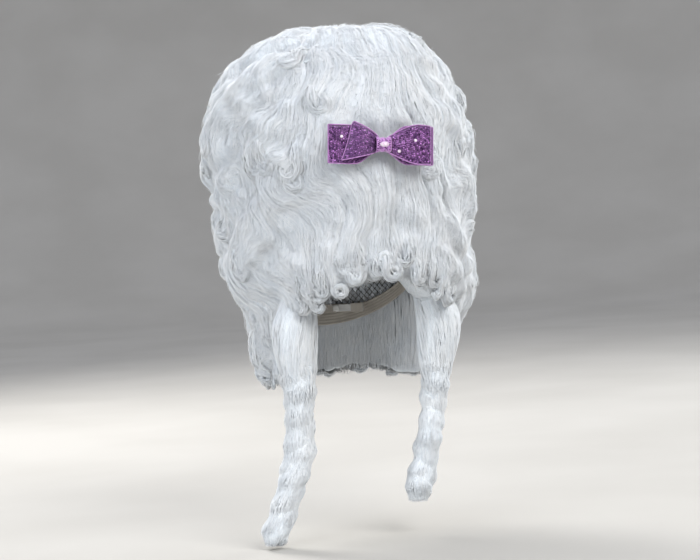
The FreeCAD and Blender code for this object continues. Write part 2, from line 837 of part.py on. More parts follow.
def check_and_write():
    """Stop if anything failed to build; write each sub-part to a STEP file."""
    doc.recompute()
    failed = [thing.Name for thing in doc.Objects if {"Invalid", "Error"} & set(thing.State)]
    if failed:
        raise RuntimeError(f"failed objects: {failed}")
    os.makedirs("parts", exist_ok=True)
    for thing in parts:
        shape = thing.Shape
        if shape.isNull() or not shape.isValid() or not shape.Solids:
            raise RuntimeError(f"{thing.Label} has no valid solid")
        shape.exportStep(f"parts/{thing.Label}.step")
    print(f"{len(parts)} sub-parts written")


fill_sheet()
build_cap()
build_straps()
build_label()
build_tower()
build_wefts()
build_hair()
build_bow()
build_clip()
check_and_write()
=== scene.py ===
"""Looks of a tall court-style costume wig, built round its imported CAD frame. Metres, +Z up, -Y front."""
import math
import bpy
import numpy as np
from mathutils import Matrix, Vector


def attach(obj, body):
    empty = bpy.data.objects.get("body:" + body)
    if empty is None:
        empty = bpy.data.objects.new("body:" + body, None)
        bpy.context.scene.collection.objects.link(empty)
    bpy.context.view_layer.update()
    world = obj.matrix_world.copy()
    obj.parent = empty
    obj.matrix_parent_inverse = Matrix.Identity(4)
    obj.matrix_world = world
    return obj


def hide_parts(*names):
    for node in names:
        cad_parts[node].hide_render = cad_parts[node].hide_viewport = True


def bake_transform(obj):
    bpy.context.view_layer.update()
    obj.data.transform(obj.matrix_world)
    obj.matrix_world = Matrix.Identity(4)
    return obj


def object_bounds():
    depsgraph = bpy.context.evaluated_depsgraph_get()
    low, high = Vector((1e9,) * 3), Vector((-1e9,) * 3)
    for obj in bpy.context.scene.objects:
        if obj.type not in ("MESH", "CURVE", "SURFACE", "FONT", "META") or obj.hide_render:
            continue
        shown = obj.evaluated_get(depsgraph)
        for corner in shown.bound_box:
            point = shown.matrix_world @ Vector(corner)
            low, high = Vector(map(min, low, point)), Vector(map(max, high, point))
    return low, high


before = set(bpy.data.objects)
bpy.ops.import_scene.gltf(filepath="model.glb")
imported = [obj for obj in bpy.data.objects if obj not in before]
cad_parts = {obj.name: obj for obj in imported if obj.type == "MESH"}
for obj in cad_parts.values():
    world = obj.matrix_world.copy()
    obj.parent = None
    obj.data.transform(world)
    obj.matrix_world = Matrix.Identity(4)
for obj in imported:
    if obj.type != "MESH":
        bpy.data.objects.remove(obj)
cad_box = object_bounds()

MM = 0.001
TURN = 2 * math.pi
SIDES = (("left", 1), ("right", -1))
rng = np.random.default_rng(11)


# ---- Camera, light and stage ----

VIEW_AZIMUTH = math.radians(-17)
VIEW_ELEVATION = math.radians(2)
VIEW_ROLL = math.radians(-3.4)
VIEW_DISTANCE = 1.95
VIEW_LENS = 95
VIEW_TARGET = Vector((0.004, 0.0, -0.099))


def add_camera():
    lens = bpy.data.cameras.new("Camera")
    lens.lens = VIEW_LENS
    camera = bpy.data.objects.new("Camera", lens)
    bpy.context.collection.objects.link(camera)
    level = math.cos(VIEW_ELEVATION)
    away = Vector((
        math.sin(VIEW_AZIMUTH) * level,
        -math.cos(VIEW_AZIMUTH) * level,
        math.sin(VIEW_ELEVATION),
    ))
    camera.location = VIEW_TARGET + away * VIEW_DISTANCE
    aim = (-away).to_track_quat("-Z", "Y").to_matrix().to_4x4()
    camera.matrix_world = Matrix.Translation(camera.location) @ aim @ Matrix.Rotation(VIEW_ROLL, 4, "Z")
    bpy.context.scene.camera = camera


def add_area_light(name, place, target, size, power, colour=(1, 1, 1)):
    lamp = bpy.data.lights.new(name, "AREA")
    lamp.shape = "DISK"
    lamp.size = size
    lamp.energy = power
    lamp.color = colour
    light = bpy.data.objects.new(name, lamp)
    bpy.context.collection.objects.link(light)
    light.location = place
    light.rotation_euler = (Vector(target) - Vector(place)).to_track_quat("-Z", "Y").to_euler()


def add_lights():
    world = bpy.data.worlds.new("Studio")
    bpy.context.scene.world = world
    world.use_nodes = True
    background = world.node_tree.nodes["Background"]
    background.inputs["Color"].default_value = (0.86, 0.90, 1.0, 1)
    background.inputs["Strength"].default_value = 0.98
    middle = (0, 0, -0.05)
    add_area_light("Key", (0.7, -1.7, 1.3), middle, 1.6, 37, (1.0, 0.99, 0.97))
    add_area_light("Fill", (-1.8, -1.3, 0.3), middle, 1.6, 24, (0.94, 0.97, 1.0))
    add_area_light("Rim", (-0.5, 1.6, 1.1), middle, 0.9, 34, (1.0, 0.98, 0.95))
    add_area_light("Side", (1.9, 0.6, 0.5), middle, 1.4, 16, (0.97, 0.99, 1.0))
    bpy.context.scene.view_settings.view_transform = "Standard"


def add_stage():
    """A plain pale floor just under the lowest ringlet, curving up into a backdrop all round."""
    floor_z = cad_box[0][2] - 6 * MM
    curve = np.radians(np.linspace(0, 90, 16))
    radii = np.concatenate([[0.4, 1, 2, 3], 4 + 2.5 * np.sin(curve), [6.5]])
    heights = np.concatenate([np.zeros(4), 2.5 * (1 - np.cos(curve)), [7]])
    around = 72
    turn = np.arange(around) * TURN / around
    rings = np.stack([np.outer(radii, np.cos(turn)), np.outer(radii, np.sin(turn)),
                      floor_z + heights[:, None] + 0 * turn], axis=-1)
    verts = np.concatenate([rings.reshape(-1, 3), [[0, 0, floor_z]]])
    number = np.arange(len(radii))[:, None] * around + wrapped(around)
    middle = len(verts) - 1
    faces = quad_grid(number)[:, ::-1].tolist()
    faces += [[middle, n, (n + 1) % around] for n in range(around)]
    mesh = bpy.data.meshes.new("Floor")
    mesh.from_pydata(verts.tolist(), [], faces)
    mesh.shade_smooth()
    floor = bpy.data.objects.new("Floor", mesh)
    bpy.context.collection.objects.link(floor)
    mesh.materials.append(stage_material())


# ---- Materials ----


def new_material(name):
    material = bpy.data.materials.new(name)
    material.use_nodes = True
    nodes = material.node_tree.nodes
    return material, nodes["Principled BSDF"], nodes, material.node_tree.links


def stage_material():
    material, shader, nodes, links = new_material("pale_floor")
    shader.inputs["Roughness"].default_value = 0.85
    ramp = noise_ramp(nodes, links, 3.0, (0.50, 0.485, 0.455), (0.54, 0.525, 0.495))
    links.new(ramp, shader.inputs["Base Color"])
    return material


def noise_value(nodes, links, scale, stretch=(1, 1, 1), detail=3.0):
    """A noise that follows the object, as a socket from 0 to 1."""
    where = nodes.new("ShaderNodeTexCoord")
    mapping = nodes.new("ShaderNodeMapping")
    mapping.inputs["Scale"].default_value = stretch
    noise = nodes.new("ShaderNodeTexNoise")
    noise.inputs["Scale"].default_value = scale
    noise.inputs["Detail"].default_value = detail
    links.new(where.outputs["Object"], mapping.inputs["Vector"])
    links.new(mapping.outputs["Vector"], noise.inputs["Vector"])
    return noise.outputs["Fac"]


def ramp_between(nodes, links, factor, low, high, start=0.35, end=0.65):
    ramp = nodes.new("ShaderNodeValToRGB")
    first, last = ramp.color_ramp.elements
    first.position, first.color = start, (*low, 1)
    last.position, last.color = end, (*high, 1)
    links.new(factor, ramp.inputs["Fac"])
    return ramp.outputs["Color"]


def noise_ramp(nodes, links, scale, low, high, stretch=(1, 1, 1)):
    return ramp_between(nodes, links, noise_value(nodes, links, scale, stretch), low, high)


def add_roughness(nodes, links, shader, scale, low, high):
    spread = nodes.new("ShaderNodeMapRange")
    spread.inputs["To Min"].default_value = low
    spread.inputs["To Max"].default_value = high
    links.new(noise_value(nodes, links, scale), spread.inputs["Value"])
    links.new(spread.outputs["Result"], shader.inputs["Roughness"])


def add_bump(nodes, links, shader, height, strength, distance):
    bump = nodes.new("ShaderNodeBump")
    bump.inputs["Strength"].default_value = strength
    bump.inputs["Distance"].default_value = distance
    links.new(height, bump.inputs["Height"])
    links.new(bump.outputs["Normal"], shader.inputs["Normal"])


def hair_material(name, shade, tint):
    """Satin white fibre: a tint for each strand over a slow change along the hair."""
    material, shader, nodes, links = new_material(name)
    shader.inputs["Specular IOR Level"].default_value = 0.3
    shader.inputs["Sheen Weight"].default_value = 0.3
    shader.inputs["Sheen Roughness"].default_value = 0.45
    slow = noise_ramp(nodes, links, 40, shade, tint)
    island = nodes.new("ShaderNodeNewGeometry")
    strand = ramp_between(nodes, links, island.outputs["Random Per Island"], shade, tint, 0.0, 1.0)
    blend = nodes.new("ShaderNodeMix")
    blend.data_type = "RGBA"
    blend.inputs["Factor"].default_value = 0.55
    links.new(slow, blend.inputs[6])
    links.new(strand, blend.inputs[7])
    links.new(blend.outputs[2], shader.inputs["Base Color"])
    add_roughness(nodes, links, shader, 90, 0.36, 0.6)
    return material


def under_hair_material():
    """The hair below the surface: duller and rougher than the strands, with a fine upright grain; its darker
    colour is painted shade of the hair deep in the mass.
    """
    material, shader, nodes, links = new_material("hair_under")
    grain = noise_value(nodes, links, 60, (18, 18, 1), 4.0)
    # Darker than the strands' tints: painted shade where the strands part over the body below
    shade = ramp_between(nodes, links, grain, (0.68, 0.74, 0.80), (0.84, 0.88, 0.92))
    links.new(shade, shader.inputs["Base Color"])
    add_bump(nodes, links, shader, grain, 0.7, 1.5 * MM)
    add_roughness(nodes, links, shader, 90, 0.5, 0.75)
    return material


# ---- The hair's outer surface ----

MIDDLE_Y = 5 * MM
TOWER_FOOT = -60 * MM
TOWER_HEAD = 125.6 * MM
LOWEST_HEM = -208 * MM
RINGLET_Y = -56 * MM

# How far the closed bodies lie under the hair's relief
BASE_SINK = 0.6 * MM

# From the hem up, in millimetres: height, half width on the wearer's left and right, reach
# forward and back from the middle.
OUTLINE = (
    (-208, 84, 80, 92, 100),
    (-190, 93, 87, 98, 109),
    (-168, 101, 93, 104, 116),
    (-146, 114, 96, 112, 121),
    (-122, 130, 101, 120, 126),
    (-100, 136, 114, 125, 130),
    (-70, 137, 121, 129, 133),
    (-25, 137, 127, 134, 136),
    (30, 135, 134, 137, 138),
    (75, 130, 129, 132, 133),
    (110, 117, 116, 119, 120),
    (133, 99, 98, 101, 101),
    (149, 78, 77, 79, 79),
    (157, 52, 51, 52, 52),
    (160, 26, 26, 26, 26),
    (161, 0, 0, 0, 0),
)

# Where the hair stops, as degrees from +X and height in millimetres
HEM = (
    (0, -204), (35, -207), (62, -199), (90, -206), (120, -200), (148, -207), (178, -203),
    (198, -198), (205, -160), (212, -138), (226, -128), (233, -121), (245, -107), (256, -97),
    (268, -89), (280, -93), (290, -105), (298, -117), (310, -125), (322, -136), (333, -160),
    (341, -199), (360, -204),
)


def smooth(knots, values, at):
    """A smooth curve through values at knots; values may have columns."""
    values = np.asarray(values, float)
    slopes = np.gradient(values, knots, axis=0)
    at = np.clip(at, knots[0], knots[-1])
    index = np.clip(np.searchsorted(knots, at, side="right") - 1, 0, len(knots) - 2)
    gap = knots[index + 1] - knots[index]
    t = (at - knots[index]) / gap
    if values.ndim > 1:
        t, gap = t[..., None], gap[..., None]
    low, high = values[index], values[index + 1]
    slope_low, slope_high = slopes[index] * gap, slopes[index + 1] * gap
    return (
        low * (1 + 2 * t) * (1 - t) ** 2
        + slope_low * t * (1 - t) ** 2
        + high * t * t * (3 - 2 * t)
        + slope_high * t * t * (t - 1)
    )


outline = np.array(OUTLINE) * MM
rises = np.hypot(np.diff(outline[:, 0]), np.diff(outline[:, 1:].mean(axis=1)))
climb = np.concatenate([[0], np.cumsum(rises)])
TOP = climb[-1]


def climb_at(height):
    """The distance up the surface at a height."""
    return np.interp(height, outline[:, 0], climb)


def hem_at(angle):
    """The distance up the surface at which the hair stops, for a direction."""
    degrees = np.degrees(angle) % 360
    heights = np.interp(degrees, [a for a, _ in HEM], [z for _, z in HEM]) * MM
    return climb_at(heights)


def surface(angle, way):
    """Points of the outer surface: angle from +X, and way up the surface in metres."""
    angle, way = np.broadcast_arrays(np.asarray(angle, float), np.asarray(way, float))
    row = smooth(climb, outline, way)
    across, along = np.cos(angle), np.sin(angle)
    wide = np.where(across > 0, row[..., 1], row[..., 2])
    deep = np.where(along > 0, row[..., 4], row[..., 3])
    return np.stack([wide * across, MIDDLE_Y + deep * along, row[..., 0]], axis=-1)


def unit(vectors):
    return vectors / np.maximum(np.linalg.norm(vectors, axis=-1, keepdims=True), 1e-12)


def directions(angle, way):
    """The directions round, up and out of the surface, and its radius, at each place."""
    turn, step = 0.02, 1.5 * MM
    way = np.clip(way, step, TOP - 2 * step)
    sideways = surface(angle + turn, way) - surface(angle - turn, way)
    around = unit(sideways)
    up = unit(surface(angle, way + step) - surface(angle, way - step))
    radius = np.linalg.norm(sideways, axis=-1) / (2 * turn)
    return around, up, unit(np.cross(around, up)), np.maximum(radius, 10 * MM)


def field(points, size, seed, layers=2):
    """A smooth random field from about -1 to 1, with lumps of about the given size."""
    source = np.random.default_rng(seed)
    total = 0
    for layer in range(layers):
        for _ in range(7):
            rate = source.uniform(0.55, 1.35) * 2 ** layer * math.pi / size
            heading = unit(source.normal(size=3))
            phase = source.uniform(0, TURN)
            total = total + 0.5 ** layer * np.sin(points @ heading * rate + phase)
    return total / 2.4


def step_between(low, high, value):
    t = np.clip((value - low) / (high - low), 0, 1)
    return t * t * (3 - 2 * t)


def calm(angle):
    """1 at the front, where the locks hang straight, falling to 0 at the sides and back."""
    away = np.abs((np.degrees(angle) - 268 + 180) % 360 - 180)
    return 1 - step_between(24, 52, away)


# ---- The lie of the hair ----

GIRTH = 130 * MM
LOCK = 33 * MM


def lanes(angle, way):
    """A value that is constant along the hair, so that it numbers the locks across it."""
    place = surface(angle, way)
    quiet = calm(angle)
    swirl = (13 - 8 * quiet) * MM * field(place, 42 * MM, 5, 1)
    curl = (4.6 - 3.0 * quiet) * MM * field(place, 17 * MM, 6, 1)
    drift = 12 * MM * field(place, 120 * MM, 7, 1)
    return GIRTH * angle + swirl + curl + drift


def relief(angle, way):
    """How far the hair stands out of or sinks under the smooth outer surface."""
    place = surface(angle, way)
    quiet = calm(angle)
    lane = lanes(angle, way)
    across = np.abs(2 * ((lane / LOCK) % 1) - 1)
    depth = 0.45 + 0.55 * step_between(-0.3, 0.6, field(place, 70 * MM, 21))
    lock = (-4.0 - 1.2 * quiet) * depth * across ** 2.4
    fine = np.abs(2 * ((lane / LOCK * 3.3) % 1) - 1)
    lock = lock - 0.5 * fine ** 2
    lumps = (5.2 - 2.2 * quiet) * np.tanh(1.3 * field(place, 28 * MM, 22, 2))
    swell = 2.8 * field(place, 75 * MM, 23, 1)
    return (2.6 + lock + lumps + swell) * MM * (1 - clip_mask(place))


def clip_mask(place):
    """1 where the bow's clip lies on the hair, so that the hair stays flat under it."""
    wide = np.abs(place[..., 0]) / (50 * MM)
    tall = np.abs(place[..., 2] - 36 * MM) / (17 * MM)
    near = np.where(place[..., 1] < 0, np.maximum(wide, tall), 9)
    return 0.8 * (1 - step_between(0.8, 1.3, near))


def lie(angle, way, step):
    """One step down along the hair, as changes of angle and way."""
    tiny = 1.0 * MM
    radius = directions(angle, way)[3]
    turn = tiny / radius
    slope_round = (lanes(angle + turn, way) - lanes(angle - turn, way)) / (2 * tiny)
    slope_up = (lanes(angle, way + tiny) - lanes(angle, way - tiny)) / (2 * tiny)
    size = np.maximum(np.hypot(slope_round, slope_up), 1e-6)
    return slope_up / size * step / radius, -slope_round / size * step


def follow(angle, way, length, points):
    """Paths down along the hair from each start, cut where the hair stops."""
    angles, ways = [angle], [way]
    step = length / (points - 1)
    for _ in range(points - 1):
        turn, rise = lie(angle, way, step)
        angle = angle + turn
        way = np.clip(way + rise, 1 * MM, TOP - 2 * MM)
        angles.append(angle)
        ways.append(way)
    angles, ways = np.stack(angles, 1), np.stack(ways, 1)
    below = ways < hem_at(angles)
    first = np.where(below.any(1), below.argmax(1), points - 1)
    return resample(angles, first), resample(ways, first)


def resample(values, last):
    """Rows spread again over their first few values, up to the index last."""
    points = values.shape[1]
    at = np.linspace(0, 1, points) * last[:, None]
    low = np.minimum(at.astype(int), points - 2)
    share = at - low
    return np.take_along_axis(values, low, 1) * (1 - share) + np.take_along_axis(values, low + 1, 1) * share


def on_hair(angles, ways, lift):
    """Places at a lift over the hair's relief, tucked in towards the hem, and the outward way."""
    around, up, out, radius = directions(angles, ways)
    above = np.clip((ways - hem_at(angles)) / (16 * MM), 0, 1)
    tuck = 7 * MM * (1 - above) ** 2
    places = surface(angles, ways) + (relief(angles, ways) + lift - tuck)[..., None] * out
    return places, around, up, out


# How strongly the lumps turn the strands' shading; white hair is lit through, so less than all
MASS_SHADE = 0.7


def mass_facing(angles, ways):
    """The outward way of the hair's own lumps and locks, by which its strands are shaded."""
    around, up, out, radius = directions(angles, ways)
    step = 3 * MM
    here = relief(angles, ways)
    slope_round = MASS_SHADE * (relief(angles + step / radius, ways) - here) / step
    slope_up = MASS_SHADE * (relief(angles, ways + step) - here) / step
    turned = (1 - np.clip((ways - hem_at(angles)) / (14 * MM), 0, 1)) ** 2
    return unit(out - slope_round[..., None] * around - (slope_up + 1.6 * turned)[..., None] * up)


# ---- Strands ----


class Hair:
    """Collects strands and solid parts, and turns them into one mesh piece."""

    def __init__(self):
        self.bundles = []
        self.blocks = []

    def strands(self, lines, thick, facing):
        """lines is strands x points x 3; thick is strands x points; facing is like lines."""
        self.bundles.append((lines, thick, facing))

    def block(self, verts, quads, tris=()):
        """A closed part under the strands."""
        self.blocks.append((verts, np.asarray(quads, int), np.asarray(tris, int).reshape(-1, 3)))

    def build(self, name, body, node, skin=None):
        total = sum(len(lines) for lines, *_ in self.bundles)
        cells = math.ceil(math.sqrt(max(total, 1)))
        parts, marks, slots, normals, done = [], [], [], [], 0
        for lines, thick, facing in self.bundles:
            tube, shading = tube_verts(lines, thick, facing)
            quad, tri, quad_uv, tri_uv = tube_faces(len(lines), lines.shape[1], cells, done)
            parts.append((tube, quad, tri))
            marks.append((quad_uv, tri_uv))
            slots.append((np.zeros(len(quad)), np.zeros(len(tri))))
            normals.append(shading)
            done += len(lines)
        for points, quad, tri in self.blocks:
            flat = block_map(points)
            parts.append((points, quad, tri))
            marks.append((flat[quad], flat[tri]))
            slots.append((np.ones(len(quad)), np.ones(len(tri))))
        verts, quads, tris = joined(parts)
        marks = [np.concatenate(group) for group in zip(*marks)]
        slots = [np.concatenate(group) for group in zip(*slots)]
        skins = [skin] if skin else [hair_skin, under_skin]
        piece = mesh_piece(name, verts, [quads, tris], marks, skins, slots)
        shade_softly(piece.data, np.concatenate(normals))
        if body:
            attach(piece, body)
        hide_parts(node)
        return piece


def tube_verts(lines, thick, facing, sides=3):
    """Vertices of closed tubes: a ring round each point, drawn almost to nothing at both ends."""
    along = unit(np.gradient(lines, axis=1))
    out = unit(facing - (facing * along).sum(-1, keepdims=True) * along)
    across = np.cross(along, out)
    thick = np.array(np.broadcast_to(thick, lines.shape[:2]))
    thick[:, [0, -1]] *= 0.1
    rings, normals = [], []
    for side in range(sides):
        angle = TURN * side / sides
        away = math.cos(angle) * out + math.sin(angle) * across
        rings.append(lines + thick[..., None] * away)
        normals.append(unit(SOFTNESS * out + away))
    return np.stack(rings, axis=2).reshape(-1, 3), np.stack(normals, axis=2).reshape(-1, 3)


# How far a strand is shaded like the mass of hair round it, and not like a wire
SOFTNESS = 3.2


def shade_softly(mesh, strand_normals):
    """Give the strands their own shading directions, and leave the solid parts as they are."""
    normals = np.empty(len(mesh.vertices) * 3, dtype=np.float32)
    mesh.vertices.foreach_get("normal", normals)
    normals = normals.reshape(-1, 3)
    normals[:len(strand_normals)] = strand_normals
    mesh.normals_split_custom_set_from_vertices(normals)


def tube_faces(count, points, cells, done, sides=3):
    """Quads and end triangles of the tubes, and their place in the map: a cell for each strand."""
    ring = np.arange(points - 1)[:, None] * sides
    side = np.arange(sides)[None, :]
    following = (side + 1) % sides
    quad = np.stack([ring + side, ring + following, ring + sides + following, ring + sides + side], axis=-1)
    starts = (np.arange(count) * points * sides)[:, None, None]
    quads = (quad.reshape(1, -1, 4) + starts).reshape(-1, 4)
    last = (points - 1) * sides
    ends = np.array([[0, 2, 1], [last, last + 1, last + 2]])
    tris = (ends[None] + starts).reshape(-1, 3)
    step, edge = np.meshgrid(np.arange(points - 1), np.arange(sides), indexing="ij")
    u = np.stack([step, step, step + 1, step + 1], axis=-1).reshape(-1, 4) / (points - 1)
    v = np.stack([edge, edge + 1, edge + 1, edge], axis=-1).reshape(-1, 4) / sides
    number = np.arange(count) + done
    corner = np.stack([number % cells, number // cells], axis=-1)[:, None, None, :]
    quad_uv = (corner + 0.06 + 0.88 * np.stack([u, v], axis=-1)[None]) / cells
    end_uv = np.array([[[0, 0], [0, 1], [0, 0.5]], [[1, 0], [1, 0.5], [1, 1]]], float)
    tri_uv = (corner + 0.06 + 0.88 * end_uv[None]) / cells
    shrink = np.array([1, MAP_SHARE])
    return quads, tris, quad_uv.reshape(-1, 4, 2) * shrink, tri_uv.reshape(-1, 3, 2) * shrink


MAP_SHARE = 0.8


def block_map(points):
    """The map of a solid part, laid flat in the strip of the picture that the strands leave."""
    low, high = points.min(0), points.max(0)
    share = (points - low) / np.maximum(high - low, 1e-6)
    across = 0.5 + 0.5 * np.arctan2(share[:, 1] - 0.5, share[:, 0] - 0.5) / math.pi
    return np.stack([0.01 + 0.98 * across, MAP_SHARE + 0.01 + (0.98 - MAP_SHARE) * share[:, 2]], axis=-1)


def mesh_piece(name, verts, faces, marks, materials, slots=None):
    """A smooth mesh object from arrays of faces with four or three corners, with a bake map."""
    mesh = bpy.data.meshes.new(name)
    mesh.vertices.add(len(verts))
    mesh.vertices.foreach_set("co", verts.astype(np.float32).ravel())
    sizes = np.concatenate([np.full(len(f), f.shape[1]) for f in faces if len(f)])
    mesh.loops.add(int(sizes.sum()))
    mesh.loops.foreach_set("vertex_index", np.concatenate([f.ravel() for f in faces]).astype(np.int32))
    mesh.polygons.add(len(sizes))
    starts = np.concatenate([[0], np.cumsum(sizes)[:-1]])
    mesh.polygons.foreach_set("loop_start", starts.astype(np.int32))
    used = np.zeros(len(sizes)) if slots is None else np.concatenate(slots)
    mesh.polygons.foreach_set("material_index", used.astype(np.int32))
    mesh.polygons.foreach_set("use_smooth", np.ones(len(sizes), dtype=bool))
    layer = mesh.uv_layers.new(name="OFBake")
    layer.data.foreach_set("uv", np.concatenate([m.reshape(-1, 2) for m in marks]).astype(np.float32).ravel())
    mesh.update(calc_edges=True)
    for material in materials:
        mesh.materials.append(material)
    piece = bpy.data.objects.new(name, mesh)
    bpy.context.collection.objects.link(piece)
    return piece


def comb(hair, start, end, low, high, count, length, points=17, cluster=4):
    """Strands in small clusters over a patch of the wig, given in degrees and ways up."""
    groups = max(1, count // cluster)
    middle = np.radians(rng.uniform(start, end, groups))
    level = rng.uniform(low, high, groups)
    reach = rng.uniform(*length, groups)
    wave = rng.uniform(0, TURN, (groups, 2))
    pitch = rng.uniform(11, 21, groups) * MM
    sway = rng.uniform(0.25, 1.15, groups) * MM
    raise_by = rng.uniform(0, 1.0, groups) * MM
    group = np.repeat(np.arange(groups), cluster)
    many = len(group)
    loose = rng.random(many) < 0.07
    spread = np.where(loose, 4.0, 2.6) * MM
    angle = middle[group] + rng.normal(size=many) * spread / (110 * MM)
    way = level[group] + rng.normal(size=many) * 3 * MM
    run = reach[group] * rng.uniform(0.8, 1.1, many)
    angles, ways = follow(angle, way, run, points)
    t = np.linspace(0, 1, points)
    ends = np.sin(math.pi * t) ** 0.5
    lift = raise_by[group][:, None] + rng.normal(size=(many, 1)) * 0.45 * MM
    lift = lift - 1.6 * MM * (1 - ends) + loose[:, None] * 3.4 * MM * t ** 2
    places, around, up, out = on_hair(angles, ways, lift)
    along = unit(np.gradient(places, axis=1))
    beside = np.cross(along, out)
    own = rng.normal(size=(many, 1)) * 1.5
    turn = TURN * t * (run / pitch[group])[:, None]
    side = sway[group][:, None] * np.sin(turn + wave[group, :1] + own)
    rise = 0.6 * sway[group][:, None] * np.sin(turn * 0.8 + wave[group, 1:] + own)
    places = places + side[..., None] * beside + rise[..., None] * out
    thick = rng.uniform(0.22, 0.36, (many, 1)) * MM * (1 - 0.4 * t ** 4)
    hair.strands(places, thick, mass_facing(angles, ways))


def fuzz(hair, start, end, low, high, count):
    """Short loose ends that cross the combed strands and blur the outline."""
    points = 6
    angle = np.radians(rng.uniform(start, end, (count, 1)))
    way = rng.uniform(low, high, (count, 1))
    way = np.maximum(way, hem_at(angle) + rng.uniform(2, 12, (count, 1)) * MM)
    run = rng.uniform(6, 17, (count, 1)) * MM * np.linspace(0, 1, points)
    aim = rng.normal(-1.57, 1.1, (count, 1))
    bend = rng.normal(0, 70, (count, 1))
    heading = aim + bend * run
    step = np.diff(run, axis=1, prepend=0)
    side, rise = np.cumsum(step * np.cos(heading), 1), np.cumsum(step * np.sin(heading), 1)
    radius = directions(angle, way)[3]
    ways = np.clip(way + rise, 1 * MM, TOP - 2 * MM)
    arch = rng.uniform(-0.2, 2.2, (count, 1)) * MM
    arch = arch + rng.normal(0, 1.1, (count, 1)) * MM * (run / (12 * MM)) ** 2
    angles = angle + side / radius
    places = on_hair(angles, ways, arch)[0]
    hair.strands(places, np.full((count, points), 0.15 * MM), mass_facing(angles, ways))


# How far each section's body runs into its neighbours, so that no seam opens between them
SEAM_DEGREES = 0.3
SEAM_RISE = 1.2 * MM


def base(hair, start, end, low, high, inner):
    """The closed body of a section under its strands: low and high are ways, or None for the hem."""
    columns = max(6, int((end - start) / 1.3))
    angles = np.radians(np.linspace(start - SEAM_DEGREES, end + SEAM_DEGREES, columns))
    high = high + SEAM_RISE
    bottom = hem_at(angles) + 4 * MM if low is None else np.full(columns, low)
    span = float(high - bottom.min())
    rows = max(4, int(span / (3 * MM)))
    share = np.linspace(0, 1, rows)[:, None]
    ways = bottom[None] + share * (high - bottom[None])
    spread = np.broadcast_to(angles, ways.shape)
    outer = on_hair(spread, ways, -BASE_SINK)[0]
    within = inner(spread, outer)
    grid = np.concatenate([outer.reshape(-1, 3), within.reshape(-1, 3)])
    number = np.arange(rows * columns).reshape(rows, columns)
    front = quad_grid(number)
    back = quad_grid(number + rows * columns)[:, ::-1]
    edge = np.concatenate([number[0], number[1:, -1], number[-1, -2::-1], number[-2:0:-1, 0]])
    following = np.roll(edge, -1)
    side = np.stack([following, edge, edge + rows * columns, following + rows * columns], axis=-1)
    hair.block(grid, np.concatenate([front, back, side]))


def wrapped(columns):
    """The columns of a closed ring, with the first one again at the end."""
    return np.concatenate([np.arange(columns), [0]])


def fan(start, end, middle):
    """Triangles from edges to one place."""
    return np.stack([start, end, np.full(len(start), middle)], -1)


def capped_tube(hair, rings, peak=0.0):
    """A closed part from rings of places, top ring first; peak is how far its ends stand out."""
    rows, columns = rings.shape[:2]
    verts = rings.reshape(-1, 3)
    rise = np.array([0, 0, peak])
    caps = np.array([verts[:columns].mean(0) + rise, verts[-columns:].mean(0) - rise])
    number = np.arange(rows)[:, None] * columns + wrapped(columns)
    edge, following = np.arange(columns), np.roll(np.arange(columns), -1)
    last = (rows - 1) * columns
    tris = [fan(edge, following, rows * columns), fan(following + last, edge + last, rows * columns + 1)]
    hair.block(np.concatenate([verts, caps]), quad_grid(number)[:, ::-1], np.concatenate(tris))


def joined(parts):
    """Parts of vertices, quads and triangles as one."""
    starts = np.cumsum([0] + [len(verts) for verts, _, _ in parts])
    verts = np.concatenate([verts for verts, _, _ in parts])
    quads = np.concatenate([quads + first for (_, quads, _), first in zip(parts, starts)])
    tris = np.concatenate([tris + first for (_, _, tris), first in zip(parts, starts)])
    return verts, quads, tris


def quad_grid(number):
    """The four corners of each cell of a grid of vertex numbers."""
    corners = [number[:-1, :-1], number[:-1, 1:], number[1:, 1:], number[1:, :-1]]
    return np.stack(corners, axis=-1).reshape(-1, 4)


def head_wall(angles, outer):
    """Places on the outside of the cap and down the neck, straight in from the outer surface."""
    height = outer[..., 2]
    drop = np.clip((height + 115 * MM) / (119 * MM), 0, 0.97)
    size = np.sqrt(1 - drop ** 2)
    flat = np.stack([80 * MM * size * np.cos(angles), 100 * MM * size * np.sin(angles), height], axis=-1)
    reach = np.hypot(flat[..., 0], flat[..., 1])
    limit = np.hypot(outer[..., 0], outer[..., 1]) - 5 * MM
    share = np.minimum(1, limit / np.maximum(reach, 1e-6))[..., None]
    return flat * np.concatenate([share, share, np.ones_like(share)], axis=-1)


def tower_wall(angles, outer):
    """Places straight in from the outer surface, outside the tower's net."""
    height = np.clip(outer[..., 2] / MM, -60, 126)
    wide = np.interp(height, (-60, -10, 55, 126), (74, 100, 110, 96)) * MM
    deep = np.interp(height, (-60, -10, 55, 126), (92, 106, 112, 99)) * MM
    middle = np.interp(height, (-60, -10, 55, 126), (0, 3, 5, 5)) * MM
    return np.stack([wide * np.cos(angles), middle + deep * np.sin(angles), outer[..., 2]], axis=-1)


SECTORS = (
    ("side_left", -22, 32), ("back_left", 32, 72), ("back_centre", 72, 108), ("back_right", 108, 148),
    ("side_right", 148, 202), ("front_right", 202, 248), ("front_centre", 248, 292), ("front_left", 292, 338),
)
STRANDS = 1420
ROLL_STRANDS = 1350
GATHERED_STRANDS = 760


def add_tower_hair():
    foot, head = climb_at(TOWER_FOOT), climb_at(TOWER_HEAD)
    for label, start, end in SECTORS:
        hair = Hair()
        front = 238 <= (start + end) / 2 % 360 <= 300
        length = (70 * MM, 150 * MM) if front else (38 * MM, 95 * MM)
        comb(hair, start - 1, end + 1, foot + 4 * MM, head + 26 * MM, STRANDS, length)
        fuzz(hair, start, end, foot, head + 8 * MM, STRANDS * 3 // 2)
        base(hair, start, end, foot, head, tower_wall)
        if not front:
            scatter_curls(hair, start + 3, end - 3, -40, 105, 5)
        hair.build("hair_tower_" + label, "wig", "tower_hair_" + label)


